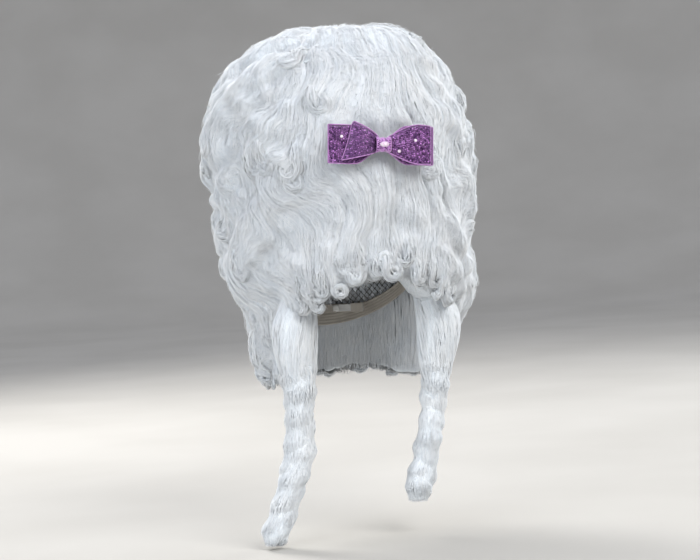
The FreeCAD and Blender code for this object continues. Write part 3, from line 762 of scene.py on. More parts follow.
def add_crown_hair():
    hair = Hair()
    head = climb_at(TOWER_HEAD)
    comb(hair, 0, 360, head + 6 * MM, TOP - 22 * MM, STRANDS * 3 // 4, (44 * MM, 110 * MM))
    comb(hair, 0, 360, TOP - 30 * MM, TOP - 3 * MM, STRANDS // 4, (30 * MM, 60 * MM))
    fuzz(hair, 0, 360, head, TOP - 4 * MM, STRANDS * 2)
    columns, rows = 96, 24
    angles = np.linspace(0, TURN, columns, endpoint=False)
    ways = np.linspace(head, TOP - 4 * MM, rows)[:, None] + np.zeros(columns)
    spread = np.broadcast_to(angles, ways.shape)
    outer = on_hair(spread, ways, -BASE_SINK)[0]
    floor = np.stack([outer[0, :, 0], outer[0, :, 1], np.full(columns, 126.2 * MM)], axis=-1)
    verts = np.concatenate([floor, outer.reshape(-1, 3), [[0, MIDDLE_Y, 126.2 * MM], outer[-1].mean(0)]])
    number = np.arange(rows + 1)[:, None] * columns + wrapped(columns)
    edge, following = np.arange(columns), np.roll(np.arange(columns), -1)
    last, middle = rows * columns, (rows + 1) * columns
    tris = [fan(following, edge, middle), fan(edge + last, following + last, middle + 1)]
    hair.block(verts, quad_grid(number), np.concatenate(tris))
    scatter_curls(hair, 0, 360, 126, 146, 7)
    hair.build("hair_crown", "wig", "crown_hair")


# ---- Curls ----


def ring_curl(hair, angle, height, lead, radius, hand, turns, count=46, wide=2.6 * MM, rise=3.5 * MM):
    """A small lock that comes down the wig and rolls into a ring; hand is 1 or -1."""
    points = 26
    way = climb_at(height)
    t = np.linspace(0, 1, points)
    lead_share = lead / (lead + TURN * radius * turns * 0.8)
    down = np.clip(t / lead_share, 0, 1)
    roll = np.clip((t - lead_share) / (1 - lead_share), 0, 1)
    size = radius * (1 - 0.62 * roll)
    phase = TURN * turns * roll
    side = hand * (radius - size * np.cos(phase) - (radius - size) * 0.4)
    drop = lead * (1 - down) - size * np.sin(phase)
    girth = directions(np.array([angle]), np.array([way]))[3][0]
    angles = angle + side / girth
    ways = np.clip(way + drop, 1 * MM, TOP - 2 * MM)
    out = directions(angles, ways)[2]
    lift = relief(angles, ways) - 3 * MM * (1 - down) ** 2 + rise * down + 1.5 * MM * roll
    path = surface(angles, ways) + lift[:, None] * out
    lock(hair, path, out, wide * (0.55 + 0.45 * np.sin(math.pi * np.clip(t * 1.15, 0, 1))), count)


def lock(hair, path, outward, half, count, flat=0.6, wander=0.38, strand=0.28 * MM):
    """Strands gathered round a path; half is the lock's half width at each point of it."""
    points = len(path)
    t = np.linspace(0, 1, points)
    along = unit(np.gradient(path, axis=0))
    out = unit(outward - (outward * along).sum(-1, keepdims=True) * along)
    across = np.cross(along, out)
    angle = rng.uniform(0, TURN, (count, 1))
    depth = np.sqrt(rng.uniform(0.1, 1, (count, 1)))
    phase = rng.uniform(0, TURN, (count, 2))
    rate = rng.uniform(0.5, 1.6, (count, 2))
    a = np.cos(angle) * depth + wander * np.sin(TURN * rate[:, :1] * t + phase[:, :1])
    b = np.sin(angle) * depth + wander * np.sin(TURN * rate[:, 1:] * t + phase[:, 1:])
    frizz = 0.5 * MM * np.sin(TURN * rng.uniform(3, 6, (count, 1)) * t + phase[:, :1])
    lines = path + (a * half + 0.7 * frizz)[..., None] * across + (flat * b * half + frizz)[..., None] * out
    thick = strand * rng.uniform(0.75, 1.2, (count, 1)) * (1 - 0.35 * t ** 4)
    facing = unit(np.cos(angle)[..., None] * across + np.sin(angle)[..., None] * out)
    hair.strands(lines, thick, facing)


def scatter_curls(hair, start, end, low, high, count):
    for _ in range(count):
        angle = math.radians(rng.uniform(start, end))
        height = rng.uniform(low, high) * MM
        ring_curl(hair, angle, height, rng.uniform(16, 34) * MM, rng.uniform(10, 14) * MM,
                  rng.choice((-1, 1)), rng.uniform(0.35, 0.7), 150, rng.uniform(6.0, 8.0) * MM, -1.2 * MM)


LOW_SECTORS = (
    ("side", "left", -24, 40), ("side", "right", 140, 204),
    ("nape", "left", 40, 90), ("nape", "right", 90, 140),
)


def add_low_hair():
    """Fringe, sides and nape: combed hair with a base, and small curls over it."""
    foot = climb_at(TOWER_FOOT)
    low = climb_at(LOWEST_HEM)
    fringe = Hair()
    comb(fringe, 225, 315, climb_at(-100 * MM), foot + 20 * MM, STRANDS, (24 * MM, 60 * MM))
    base(fringe, 226, 314, None, foot, head_wall)
    fuzz(fringe, 226, 314, climb_at(-125 * MM), foot, STRANDS)
    add_fringe_curls(fringe)
    fringe.build("hair_fringe", "wig", "fringe_curls")
    for side, label, start, end in LOW_SECTORS:
        hair = Hair()
        comb(hair, start, end, low + 8 * MM, foot + 14 * MM, STRANDS, (34 * MM, 90 * MM))
        base(hair, start, end, None, foot, head_wall)
        fuzz(hair, start, end, low, foot, STRANDS * 3 // 2)
        scatter_curls(hair, start + 3, end - 3, -185, -70, 9)
        hem_curls(hair, start + 2, end - 2, 7)
        inner_strands(hair, start, end)
        hair.build(f"hair_{side}_{label}", "wig", f"{side}_curls_{label}")


def hem_curls(hair, start, end, count):
    """Curled ends along the hem."""
    for angle in np.radians(np.linspace(start, end, count) + rng.uniform(-2, 2, count)):
        height = float(np.interp(hem_at(angle), climb, outline[:, 0])) + rng.uniform(2, 9) * MM
        ring_curl(hair, angle, height, rng.uniform(18, 34) * MM, rng.uniform(5, 8) * MM,
                  rng.choice((-1, 1)), rng.uniform(0.5, 1.1), 46, rng.uniform(2.6, 3.6) * MM, 1.0 * MM)


def inner_strands(hair, start, end):
    """The hair seen from inside, below the cap: it hangs down behind the neck and ears."""
    count, points = 420, 16
    angle = np.radians(rng.uniform(start, end, (count, 1)))
    top = rng.uniform(-140, -100, (count, 1)) * MM
    foot = rng.uniform(-203, -185, (count, 1)) * MM
    t = np.linspace(0, 1, points)
    height = top + (foot - top) * t
    wave = 1.6 * MM * np.sin(TURN * t * rng.uniform(1, 2.2, (count, 1)) + rng.uniform(0, TURN, (count, 1)))
    flare = np.clip((-150 * MM - height) / (50 * MM), 0, 1) * 4 * MM
    wide = 79 * MM - rng.uniform(0.2, 2.2, (count, 1)) * MM + wave * 0.4 - flare
    deep = wide + 20 * MM
    turn = angle + wave / (90 * MM)
    lines = np.stack([wide * np.cos(turn), deep * np.sin(turn), height], axis=-1)
    facing = -unit(lines * np.array([1, 1, 0]))
    hair.strands(lines, np.full((count, points), 0.4 * MM), facing)


def add_fringe_curls(hair):
    """Pin curls, rings and hooks along the forehead."""
    degrees = np.concatenate([np.linspace(228, 313, 18), np.linspace(232, 308, 10)])
    for number, degree in enumerate(degrees):
        angle = math.radians(degree + rng.uniform(-1.8, 1.8))
        upper = number >= 18
        hem = float(np.interp(hem_at(angle), climb, outline[:, 0]))
        height = hem + (rng.uniform(14, 22) if upper else rng.uniform(3, 8)) * MM
        ring = number % 6 == 4
        turns = rng.uniform(1.0, 1.25) if ring else rng.uniform(0.25, 0.6)
        wide = rng.uniform(2.8, 3.6) if ring else rng.uniform(4.6, 6.6)
        ring_curl(hair, angle, height, rng.uniform(16, 30) * MM, rng.uniform(6, 9) * MM,
                  rng.choice((-1, 1)), turns, 110, wide * MM, rng.uniform(0.2, 2.4) * MM)


# ---- Temple locks and ringlets ----

RINGLETS = {
    # Height, sideways place and half width, in millimetres, from the top down
    "left": (
        (-178, 76, 17), (-202, 74, 15.5), (-218, 71, 14.5), (-236, 69, 11.5), (-251, 66, 13.5),
        (-262, 63, 14.5), (-274, 60, 14), (-288, 57, 11.5), (-301, 53, 14.5), (-316, 49, 15.5), (-331, 47, 10),
    ),
    "right": (
        (-178, -74, 18), (-202, -74, 16.5), (-228, -75, 14.5), (-250, -76, 13.8), (-270, -78, 15),
        (-290, -84, 15.2), (-312, -92, 14), (-332, -100, 13.6), (-348, -107, 13.8), (-360, -111, 8),
    ),
}


# How many gathered parts wind round each other in a ringlet
ROLL_PARTS = 2


def roll_line(word, heights):
    """The middle line's sideways place and the half width of a ringlet, at some heights."""
    table = np.array(RINGLETS[word][::-1], float) * MM
    values = smooth(table[:, 0], table[:, 1:], heights)
    return values[..., 0], values[..., 1]


def add_ringlet(word, side):
    """A hanging roll of hair: strands that wind round its middle line, in a few gathered parts."""
    hair = Hair()
    top, tip = RINGLETS[word][0][0] * MM, RINGLETS[word][-1][0] * MM
    rope = word == "left"
    parts = ROLL_PARTS
    turns = (top - tip) / ((120 if rope else 150) * MM)
    count, points = ROLL_STRANDS, 20
    t = np.linspace(0, 1, points)
    begin = rng.uniform(-0.02, 0.42, (count, 1))
    finish = np.minimum(1, begin + rng.uniform(0.42, 0.85, (count, 1)))
    along = begin + (finish - begin) * t
    height = top + (tip - top) * np.clip(along, 0, 1)
    middle, half = roll_line(word, height)
    member = rng.integers(0, parts, (count, 1)) * TURN / parts
    within = rng.uniform(0, TURN, (count, 1)) + rng.normal(size=(count, 1)) * 0.3 + TURN * 0.5 * along
    depth = np.sqrt(rng.uniform(0.88, 1.05, (count, 1)))
    wind = side * TURN * turns * along + member
    hub = half * (0.24 if rope else 0.14)
    size = half * (0.80 if rope else 0.90) * depth
    swing = TURN * along * rng.uniform(3, 8, (count, 1)) + rng.uniform(0, TURN, (count, 1))
    size = size * (1 + 0.08 * np.sin(swing)) * (1 + 0.1 * np.sin(TURN * (along * 7.3 + member / 5)))
    within = within + 0.16 * np.cos(swing)
    x = middle + hub * np.cos(wind) + size * np.cos(within)
    y = RINGLET_Y + hub * np.sin(wind) + size * np.sin(within)
    lines = np.stack([x, y, height], axis=-1)
    facing = np.stack([np.cos(within), np.sin(within), np.zeros_like(within)], axis=-1)
    thick = rng.uniform(0.26, 0.4, (count, 1)) * MM * (1 - 0.3 * t ** 4)
    hair.strands(lines, thick, facing)
    roll_core(hair, word, side, top, tip, turns, parts, rope)
    end_curl(hair, word)
    piece = hair.build("hair_ringlet_" + word, None, "ringlet_" + word)
    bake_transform(piece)


def roll_core(hair, word, side, top, tip, turns, parts, rope):
    """The closed middle of a ringlet, lobed like the parts that wind round each other."""
    rows, columns = 60, 24
    t = np.linspace(0.01, 0.985, rows)[:, None]
    height = top + (tip - top) * t + np.zeros(columns)
    middle, half = roll_line(word, height)
    angle = np.arange(columns) * TURN / columns
    lobe = 0.5 + 0.5 * np.cos(parts * (angle - side * TURN * turns * t))
    size = half * ((0.84 if rope else 0.92) + (0.16 if rope else 0.07) * lobe)
    x, y = middle + size * np.cos(angle), RINGLET_Y + size * np.sin(angle)
    capped_tube(hair, np.stack([x, y, height], axis=-1), 2 * MM)


def end_curl(hair, word):
    """The ringlet's tip: its ends roll up."""
    x, z = RINGLETS[word][-2][1] * MM, RINGLETS[word][-2][0] * MM
    t = np.linspace(0, 1, 24)
    for number in range(5):
        turn = TURN * number / 5 + 0.4
        phase = TURN * 0.62 * t
        size = (9.5 - 1.2 * number % 2) * MM
        outward = np.array([math.cos(turn), math.sin(turn), 0])
        centre = np.array([x, RINGLET_Y, z - 2 * MM]) + outward * 1.5 * MM
        rolled = np.outer(np.cos(phase - 0.25) * size, outward) - np.outer(np.sin(phase) * size, [0, 0, 1])
        path = centre + rolled
        lock(hair, path, np.broadcast_to(outward, path.shape), 3.6 * MM * (1 - 0.4 * t), 60)


def add_temple_lock(word, side):
    """Smooth hair that fans down from the tower's foot and gathers into the ringlet."""
    hair = Hair()
    start, end = (-46, -24) if word == "left" else (204, 226)
    foot = climb_at(TOWER_FOOT)
    comb(hair, start - 2, end + 2, climb_at(-118 * MM), foot + 16 * MM, STRANDS // 2, (30 * MM, 70 * MM))
    base(hair, start, end, None, foot, head_wall)
    fuzz(hair, start, end, climb_at(-138 * MM), foot, STRANDS // 4)
    rows = 24
    t = np.linspace(0, 1, rows)
    heights = np.array([-92, -114, -137, -160, -186, -212]) * MM
    across = np.array([67, 71, 76.5, 77, 74.5, 73]) * MM * side
    forward = np.array([-50, -55, -60, -60, -57, -56]) * MM
    wide = np.array([13, 17, 21.5, 21, 17, 12]) * MM
    deep = np.array([9, 13, 17, 17, 15, 11]) * MM
    table = np.stack([across, forward, wide, deep], -1)[::-1]
    level = heights[0] + (heights[-1] - heights[0]) * t
    place = smooth(heights[::-1], table, level)
    count, points = GATHERED_STRANDS, 24
    angle = rng.uniform(0, TURN, (count, 1)) + side * 0.6 * t * rng.uniform(0.5, 1.5, (count, 1))
    depth = np.sqrt(rng.uniform(0.92, 1.06, (count, 1)))
    begin = rng.uniform(0, 0.35, (count, 1))
    finish = rng.uniform(0.72, 1.0, (count, 1))
    share = begin + (finish - begin) * np.linspace(0, 1, points)
    rows_at = smooth(t, np.concatenate([place, level[:, None]], 1), share)
    rate = rng.uniform(0.8, 2.5, (count, 1))
    phase = rng.uniform(0, TURN, (count, 1))
    wave = 0.9 * MM * np.sin(TURN * share * rate + phase)
    lobe = 1 + 0.07 * np.cos(5 * angle + 3 * share)
    x = rows_at[..., 0] + rows_at[..., 2] * depth * lobe * np.cos(angle) + wave
    y = rows_at[..., 1] + rows_at[..., 3] * depth * lobe * np.sin(angle)
    lines = np.stack([x, y, rows_at[..., 4]], axis=-1)
    facing = np.stack([np.cos(angle), np.sin(angle), np.zeros_like(angle)], axis=-1)
    hair.strands(lines, rng.uniform(0.28, 0.44, (count, 1)) * MM, facing)
    turn = np.arange(24) * TURN / 24
    ring = place[:, None, :]
    capped_tube(hair, np.stack([
        ring[..., 0] + 0.965 * ring[..., 2] * np.cos(turn),
        ring[..., 1] + 0.965 * ring[..., 3] * np.sin(turn),
        level[:, None] + 0 * turn,
    ], axis=-1))
    hair.build("hair_temple_" + word, "wig", "temple_lock_" + word)


# ---- The CAD nodes that stay in view or inside ----


def woven_material(name, low, high, pitch, rough=(0.6, 0.85)):
    """A woven or knitted cloth: two crossing sets of ribs over an uneven dye."""
    material, shader, nodes, links = new_material(name)
    links.new(noise_ramp(nodes, links, 55, low, high), shader.inputs["Base Color"])
    where = nodes.new("ShaderNodeTexCoord")
    waves = []
    for direction in ("X", "Z"):
        wave = nodes.new("ShaderNodeTexWave")
        wave.bands_direction = direction
        wave.inputs["Scale"].default_value = 0.31 / pitch
        wave.inputs["Distortion"].default_value = 0.4
        links.new(where.outputs["Object"], wave.inputs["Vector"])
        waves.append(wave.outputs["Fac"])
    both = nodes.new("ShaderNodeMath")
    both.operation = "MULTIPLY"
    links.new(waves[0], both.inputs[0])
    links.new(waves[1], both.inputs[1])
    add_bump(nodes, links, shader, both.outputs[0], 0.7, 0.4 * MM)
    add_roughness(nodes, links, shader, 120, *rough)
    return material


def metal_material(name, low, high, rough):
    material, shader, nodes, links = new_material(name)
    shader.inputs["Metallic"].default_value = 1
    links.new(noise_ramp(nodes, links, 200, low, high, (1, 1, 12)), shader.inputs["Base Color"])
    add_bump(nodes, links, shader, noise_value(nodes, links, 900, (1, 1, 14)), 0.15, 0.1 * MM)
    add_roughness(nodes, links, shader, 160, *rough)
    return material


def dress(material, *names):
    for name in names:
        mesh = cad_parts[name].data
        mesh.materials.clear()
        mesh.materials.append(material)


def dress_cad():
    net = woven_material("net", (0.60, 0.60, 0.58), (0.74, 0.74, 0.72), 1.6 * MM)
    weft = woven_material("weft", (0.62, 0.63, 0.65), (0.76, 0.77, 0.79), 0.8 * MM)
    fluff = woven_material("wadding", (0.78, 0.79, 0.80), (0.9, 0.9, 0.91), 4 * MM, (0.8, 0.95))
    bone = woven_material("bone", (0.76, 0.76, 0.73), (0.86, 0.86, 0.83), 3 * MM, (0.35, 0.5))
    metal = metal_material("clip_metal", (0.50, 0.50, 0.52), (0.66, 0.66, 0.68), (0.22, 0.38))
    dress(net, "tower_net", "tower_lid")
    dress(weft, *(f"tower_weft_{n}" for n in range(1, 5)), *(f"cap_weft_{n}" for n in range(1, 4)))
    dress(fluff, "tower_wadding")
    dress(bone, "tower_stays", "tower_hoop_1", "tower_hoop_2", "tower_hoop_3")
    dress(metal, "clip_fixed_jaw", "clip_moving_jaw", "clip_pin", "clip_spring")


# ---- Ribbons and other sheets ----


def sheet_piece(name, front, thick, material, around=False):
    """A closed sheet from a grid of places on its front; around joins its last column to its first."""
    rows, columns = front.shape[:2]
    if around:
        ahead, behind = np.roll(front, -1, axis=1), np.roll(front, 1, axis=1)
        along = ahead - behind
    else:
        along = np.gradient(front, axis=1)
    out = unit(np.cross(along, np.gradient(front, axis=0)))
    back = front - thick * out
    verts = np.concatenate([front.reshape(-1, 3), back.reshape(-1, 3)])
    number = np.arange(rows * columns).reshape(rows, columns)
    if around:
        number = np.concatenate([number, number[:, :1]], axis=1)
    ends = rows * columns
    quads = [quad_grid(number), quad_grid(number + ends)[:, ::-1]]
    if around:
        edges = [number[0], number[-1, ::-1]]
    else:
        edges = [np.concatenate([number[0], number[1:, -1], number[-1, -2::-1], number[-2::-1, 0]])]
    for edge in edges:
        start, following = edge[:-1], edge[1:]
        quads.append(np.stack([following, start, start + ends, following + ends], axis=-1))
    quads = np.concatenate(quads)
    v, u = np.meshgrid(np.linspace(0.02, 0.98, rows), np.linspace(0.02, 0.48, number.shape[1]), indexing="ij")
    face_u = quad_grid(np.arange(u.size).reshape(u.shape))
    flat = np.stack([u, v], axis=-1).reshape(-1, 2)
    marks = [flat[face_u], flat[face_u][:, ::-1] + [0.5, 0]]
    rim = len(quads) - 2 * len(face_u)
    marks.append(np.tile([[0.985, 0.2], [0.985, 0.21], [0.995, 0.21], [0.995, 0.2]], (rim, 1, 1)))
    return mesh_piece(name, verts, [quads], [np.concatenate(marks)], [material])


# ---- Bow ----

BOW_MIDDLE = np.array([0, -141.5, 36]) * MM
BOW_TILT = math.radians(3.4)


def on_bow(x, depth, z):
    """Places in the wig's frame, from millimetres right, forward and up on the bow as it hangs."""
    x, depth, z = np.broadcast_arrays(x, depth, z)
    turned_x = x * math.cos(BOW_TILT) + z * math.sin(BOW_TILT)
    turned_z = z * math.cos(BOW_TILT) - x * math.sin(BOW_TILT)
    return BOW_MIDDLE + np.stack([turned_x, -depth, turned_z], axis=-1) * MM


def rear_ribbon(u, v):
    """The flat ribbon behind: u runs along it from -1 to 1, v up it from -1 to 1."""
    away = np.abs(u)
    tall = 6.2 + 12.6 * step_between(0.05, 0.5, away)
    pleat = 0.7 * np.cos(v * 4.2 * math.pi) * (1 - step_between(0.05, 0.45, away))
    wave = 0.5 * np.sin(u * 5 + v) * away
    return 54 * u, 1.3 + pleat + wave, v * tall - 0.6 * np.sign(u) * away ** 2


def flared_loop(s, v):
    """The loop on the wearer's left: it flares from the knot and ends square."""
    out = 1 - np.abs(2 * s - 1)
    front = s < 0.5
    tall = 5.8 + 13.6 * np.sin(math.pi / 2 * np.minimum(1, out / 0.76)) ** 1.15 - 0.9 * out ** 6
    bulge = np.where(front, 3.6 + 4.6 * np.sin(math.pi * np.clip(out, 0, 1)) ** 0.8 * (1 - 0.25 * v * v), 3.0)
    pleat = 0.8 * np.cos(v * 3.4 * math.pi) * (1 - out) ** 2 * np.where(front, 1, 0.3)
    fold = 0.6 * np.sin(out * 9 + 2 * v) * out * (1 - out) * 4
    return 2.5 + 48.5 * out, bulge + pleat + np.where(front, fold, 0) + 0.5, v * tall + 0.7 * np.sin(out * 3)


def slanted_loop(s, v):
    """The loop on the wearer's right: a leaf folded on a slant, with its peak near the middle."""
    out = 1 - np.abs(2 * s - 1)
    front = s < 0.5
    point = np.clip((v - 0.55) / 0.45, 0, 1) ** 2
    end_x = -(35.5 - 5.5 * v - 1.6 * np.cos(v * math.pi / 2) - 1.5 * point)
    end_z = 4.4 + 19.8 * v - 1.6 * point
    rise = out ** 0.75
    z = (1 - rise) * 5.8 * v + rise * end_z
    bulge = np.where(front, 3.6 + 5.2 * np.sin(math.pi * np.clip(out, 0, 1)) ** 0.8 * (1 - 0.2 * v * v), 3.0)
    pleat = 0.9 * np.cos(v * 3.4 * math.pi + 0.6) * (1 - out) ** 2 * np.where(front, 1, 0.3)
    return -2.5 * (1 - out) + end_x * out, bulge + pleat + 0.5, z


def knot_wrap(t, v):
    """The strip round the middle: t runs round it, v across it."""
    turn = TURN * t
    deep, tall = 5.6, 7.2 - 0.7 * (1 - v * v)
    crease = 0.45 * np.cos(v * 2.6 * math.pi)
    depth = 6.4 + (deep + crease) * np.sign(np.cos(turn)) * np.abs(np.cos(turn)) ** 0.6
    z = (tall + crease) * np.sign(np.sin(turn)) * np.abs(np.sin(turn)) ** 0.7
    return 7.6 * v, depth, z


def ribbon_grid(shape, first, last, columns, rows=15):
    v, u = np.meshgrid(np.linspace(-1, 1, rows), np.linspace(first, last, columns), indexing="ij")
    return on_bow(*shape(u, v))


def sequins(grid, pitch=2.05 * MM, margin=1.4 * MM):
    """Small cupped discs over the front of a ribbon grid, in slightly uneven rows."""
    spots, normals, sides = [], [], []
    rows, columns = grid.shape[:2]
    out = unit(np.cross(np.gradient(grid, axis=1), np.gradient(grid, axis=0)))
    lengths = np.linalg.norm(np.diff(grid[rows // 2], axis=0), axis=1)
    run = np.concatenate([[0], np.cumsum(lengths)])
    for number, place in enumerate(np.arange(margin, run[-1] - 0.4 * MM, pitch * 0.88)):
        at = np.interp(place, run, np.arange(columns))
        low = min(int(at), columns - 2)
        line = grid[:, low] * (1 - (at - low)) + grid[:, low + 1] * (at - low)
        away = out[:, low]
        climb_line = np.concatenate([[0], np.cumsum(np.linalg.norm(np.diff(line, axis=0), axis=1))])
        start = margin + (0.5 * pitch if number % 2 else 0)
        stops = np.arange(start, climb_line[-1] - margin, pitch)
        stops = stops + rng.normal(0, 0.1 * MM, len(stops))
        for axis_values, target in ((line, spots), (away, normals)):
            target.append(np.stack([np.interp(stops, climb_line, axis_values[:, k]) for k in range(3)], -1))
    return np.concatenate(spots), unit(np.concatenate(normals))


def disc_parts(spots, normals, radius, cup, tilt):
    """Six-sided cupped discs as vertices, triangles and quads."""
    many = len(spots)
    normals = unit(normals + rng.normal(0, tilt, (many, 3)))
    side = unit(np.cross(normals, [0.3, 0.1, 1]))
    up = np.cross(normals, side)
    turn = rng.uniform(0, TURN, (many, 1)) + np.arange(6) * TURN / 6
    size = radius * rng.uniform(0.9, 1.08, (many, 1, 1))
    rim = np.cos(turn)[..., None] * side[:, None] + np.sin(turn)[..., None] * up[:, None]
    verts = np.concatenate([spots[:, None] + size * rim, (spots + cup * normals)[:, None]], axis=1)
    edge = np.arange(6)
    tris = np.stack([edge, (edge + 1) % 6, np.full(6, 6)], -1)
    quads = np.array([[0, 5, 4, 3], [0, 3, 2, 1]])
    starts = (np.arange(many) * 7)[:, None, None]
    return verts.reshape(-1, 3), (quads + starts).reshape(-1, 4), (tris + starts).reshape(-1, 3)


def faceted(name, spots, wide, tall, height, material):
    """Cut stones: an oval girdle, a slanting crown and a flat table, with flat faces."""
    many, sides = len(spots), 12
    turn = (np.arange(sides) + 0.5) * TURN / sides
    rings = ((0.72, 0.0), (1.0, 0.28), (0.82, 0.72), (0.52, 1.0))
    shape = [
        np.stack([wide * r * np.cos(turn + k * math.pi / sides), -height * h + 0 * turn,
                  tall * r * np.sin(turn + k * math.pi / sides)], -1)
        for k, (r, h) in enumerate(rings)
    ]
    shape = np.concatenate(shape + [[[0, 0, 0], [0, -height, 0]]])
    quads = quad_grid(np.arange(4)[:, None] * sides + wrapped(sides))
    edge, following, last = np.arange(sides), np.roll(np.arange(sides), -1), 3 * sides
    middle = 4 * sides
    tris = np.concatenate([fan(following, edge, middle), fan(edge + last, following + last, middle + 1)])
    size = len(shape)
    starts = (np.arange(many) * size)[:, None, None]
    verts = (np.asarray(spots)[:, None] + shape[None]).reshape(-1, 3)
    quads, tris = (quads + starts).reshape(-1, 4), (tris + starts).reshape(-1, 3)
    low, span = verts.min(0), np.ptp(verts, axis=0)
    flat = (verts[:, [0, 2]] - low[[0, 2]]) / span[[0, 2]]
    piece = mesh_piece(name, verts, [quads, tris], [flat[quads], flat[tris]], [material])
    piece.data.shade_flat()
    return piece


def bow_part(piece, node=None):
    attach(piece, "bow")
    if node:
        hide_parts(node)
    return piece


def respaced(line, count=65):
    """A line as count places spread evenly over its own points."""
    index = np.linspace(0, len(line) - 1, count)
    return np.stack([np.interp(index, np.arange(len(line)), line[:, k]) for k in range(3)], -1)


def edging_tubes(lines, width, name, material):
    """Narrow satin strips sewn along the ribbons' edges."""
    lines, sides, cells = np.stack(lines), 6, 4
    verts = tube_verts(lines, width, np.broadcast_to([0.0, -1.0, 0.0], lines.shape), sides)[0]
    quads, tris, marks, tri_marks = tube_faces(len(lines), lines.shape[1], cells, 0, sides)
    return mesh_piece(name, verts, [quads, tris], [marks, tri_marks], [material])


def add_bow():
    satin = satin_material("bow_satin", (0.05, 0.014, 0.075), (0.12, 0.04, 0.16))
    trim = satin_material("bow_edging", (0.36, 0.14, 0.42), (0.52, 0.26, 0.58))
    spark = sequin_material()
    crystal = stone_material()
    rear = ribbon_grid(rear_ribbon, -1, 1, 61)
    flared = ribbon_grid(flared_loop, 0, 1, 65)
    slanted = ribbon_grid(slanted_loop, 0, 1, 65)
    v, t = np.meshgrid(np.linspace(-1, 1, 17), np.linspace(0, 1, 48, endpoint=False), indexing="ij")
    wrap = on_bow(*knot_wrap(t, v))
    pieces = {
        "ribbon_rear": bow_part(sheet_piece("bow_ribbon_rear", rear, 0.35 * MM, satin), "bow_band"),
        "ribbon_left": bow_part(sheet_piece("bow_ribbon_left", flared, 0.35 * MM, satin), "bow_loop_left"),
        "ribbon_right": bow_part(sheet_piece("bow_ribbon_right", slanted, 0.35 * MM, satin), "bow_loop_right"),
        "knot": bow_part(sheet_piece("bow_wrap", wrap, 0.4 * MM, trim, around=True), "bow_knot"),
    }
    half = flared.shape[1] // 2 + 1
    knot_front = ribbon_grid(knot_wrap, -0.16, 0.16, 17, 17)
    covers = (rear, flared[:, :half], slanted[:, :half][:, ::-1], np.transpose(knot_front, (1, 0, 2)))
    discs = []
    for grid in covers:
        spots, normals = sequins(grid)
        normals = np.where(normals[:, 1:2] > 0, -normals, normals)
        discs.append(disc_parts(spots + 0.25 * MM * normals, normals, 1.08 * MM, 0.3 * MM, 0.16))
    verts, quads, tris = joined(discs)
    cells = math.ceil(math.sqrt(len(verts) / 7))
    number = np.arange(len(verts)) // 7
    corner = np.arange(len(verts)) % 7
    turn = corner * TURN / 6
    reach = np.where(corner == 6, 0, 0.42)[:, None] * np.stack([np.cos(turn), np.sin(turn)], -1)
    flat = (np.stack([number % cells, number // cells], -1) + 0.5 + reach) / cells
    shiny = mesh_piece("bow_sequins", verts, [quads, tris], [flat[quads], flat[tris]], [spark])
    shiny.data.shade_flat()
    bow_part(shiny)
    fronts = (rear, flared[:, :half], slanted[:, :half])
    lines = [respaced(grid[row] + np.array([0, -0.35, 0]) * MM) for grid in fronts for row in (0, -1)]
    for grid, column in ((rear, 0), (rear, -1), (flared, half - 1), (slanted, half - 1)):
        lines.append(respaced(grid[:, column] + np.array([0, -0.2, 0]) * MM))
    edging = bow_part(edging_tubes(lines, 0.58 * MM, "bow_edging", trim))
    gem = faceted("bow_gem", [on_bow(0.3, 12.2, 0.2)], 4.8 * MM, 2.7 * MM, 2.8 * MM, crystal)
    bow_part(gem, "bow_stone")
    chips = [on_bow(-40.5, 2.6, 7.7), on_bow(16.5, 8.9, -6.2), on_bow(33.5, 8.0, 4.6), on_bow(41.5, 6.1, 0.4)]
    gems = faceted("bow_chip_gems", chips, 1.7 * MM, 1.6 * MM, 1.3 * MM, crystal)
    bow_part(gems, "bow_chips")


def satin_material(name, low, high):
    material, shader, nodes, links = new_material(name)
    shader.inputs["Sheen Weight"].default_value = 0.4
    grain = noise_value(nodes, links, 260, (1, 1, 6))
    links.new(ramp_between(nodes, links, grain, low, high), shader.inputs["Base Color"])
    add_bump(nodes, links, shader, grain, 0.35, 0.3 * MM)
    add_roughness(nodes, links, shader, 300, 0.28, 0.45)
    return material


def sequin_material():
    """Dark violet foil discs, each with its own shade and polish."""
    material, shader, nodes, links = new_material("bow_sequins")
    shader.inputs["Metallic"].default_value = 0.75
    own = nodes.new("ShaderNodeNewGeometry")
    island = own.outputs["Random Per Island"]
    shade = ramp_between(nodes, links, island, (0.045, 0.012, 0.075), (0.32, 0.14, 0.38), 0, 1)
    links.new(shade, shader.inputs["Base Color"])
    add_roughness(nodes, links, shader, 700, 0.16, 0.36)
    add_bump(nodes, links, shader, noise_value(nodes, links, 900), 0.2, 0.1 * MM)
    return material


def stone_material():
    material, shader, nodes, links = new_material("stone")
    shader.inputs["Coat Weight"].default_value = 0.7
    shader.inputs["Specular IOR Level"].default_value = 0.8
    shade = noise_ramp(nodes, links, 420, (0.72, 0.52, 0.70), (0.95, 0.88, 0.95))
    links.new(shade, shader.inputs["Base Color"])
    add_roughness(nodes, links, shader, 500, 0.04, 0.14)
    add_bump(nodes, links, shader, noise_value(nodes, links, 600), 0.05, 0.05 * MM)
    return material


# ---- The cap, seen from inside ----

HEAD = np.array([76, 96, 115]) * MM
RIM_HEIGHT = -102 * MM
RIM_SLOPE = math.tan(math.radians(-28))


def on_head(angle, height, grow):
    """Places on the head form grown by a distance, at a direction from +X and a height."""
    wide, deep, tall = HEAD[0] + grow, HEAD[1] + grow, HEAD[2] + grow
    level = np.sqrt(np.clip(1 - ((height + HEAD[2]) / tall) ** 2, 0.01, 1))
    across, along = wide * level * np.cos(angle), deep * level * np.sin(angle)
    return np.stack(np.broadcast_arrays(across, along, height), -1)


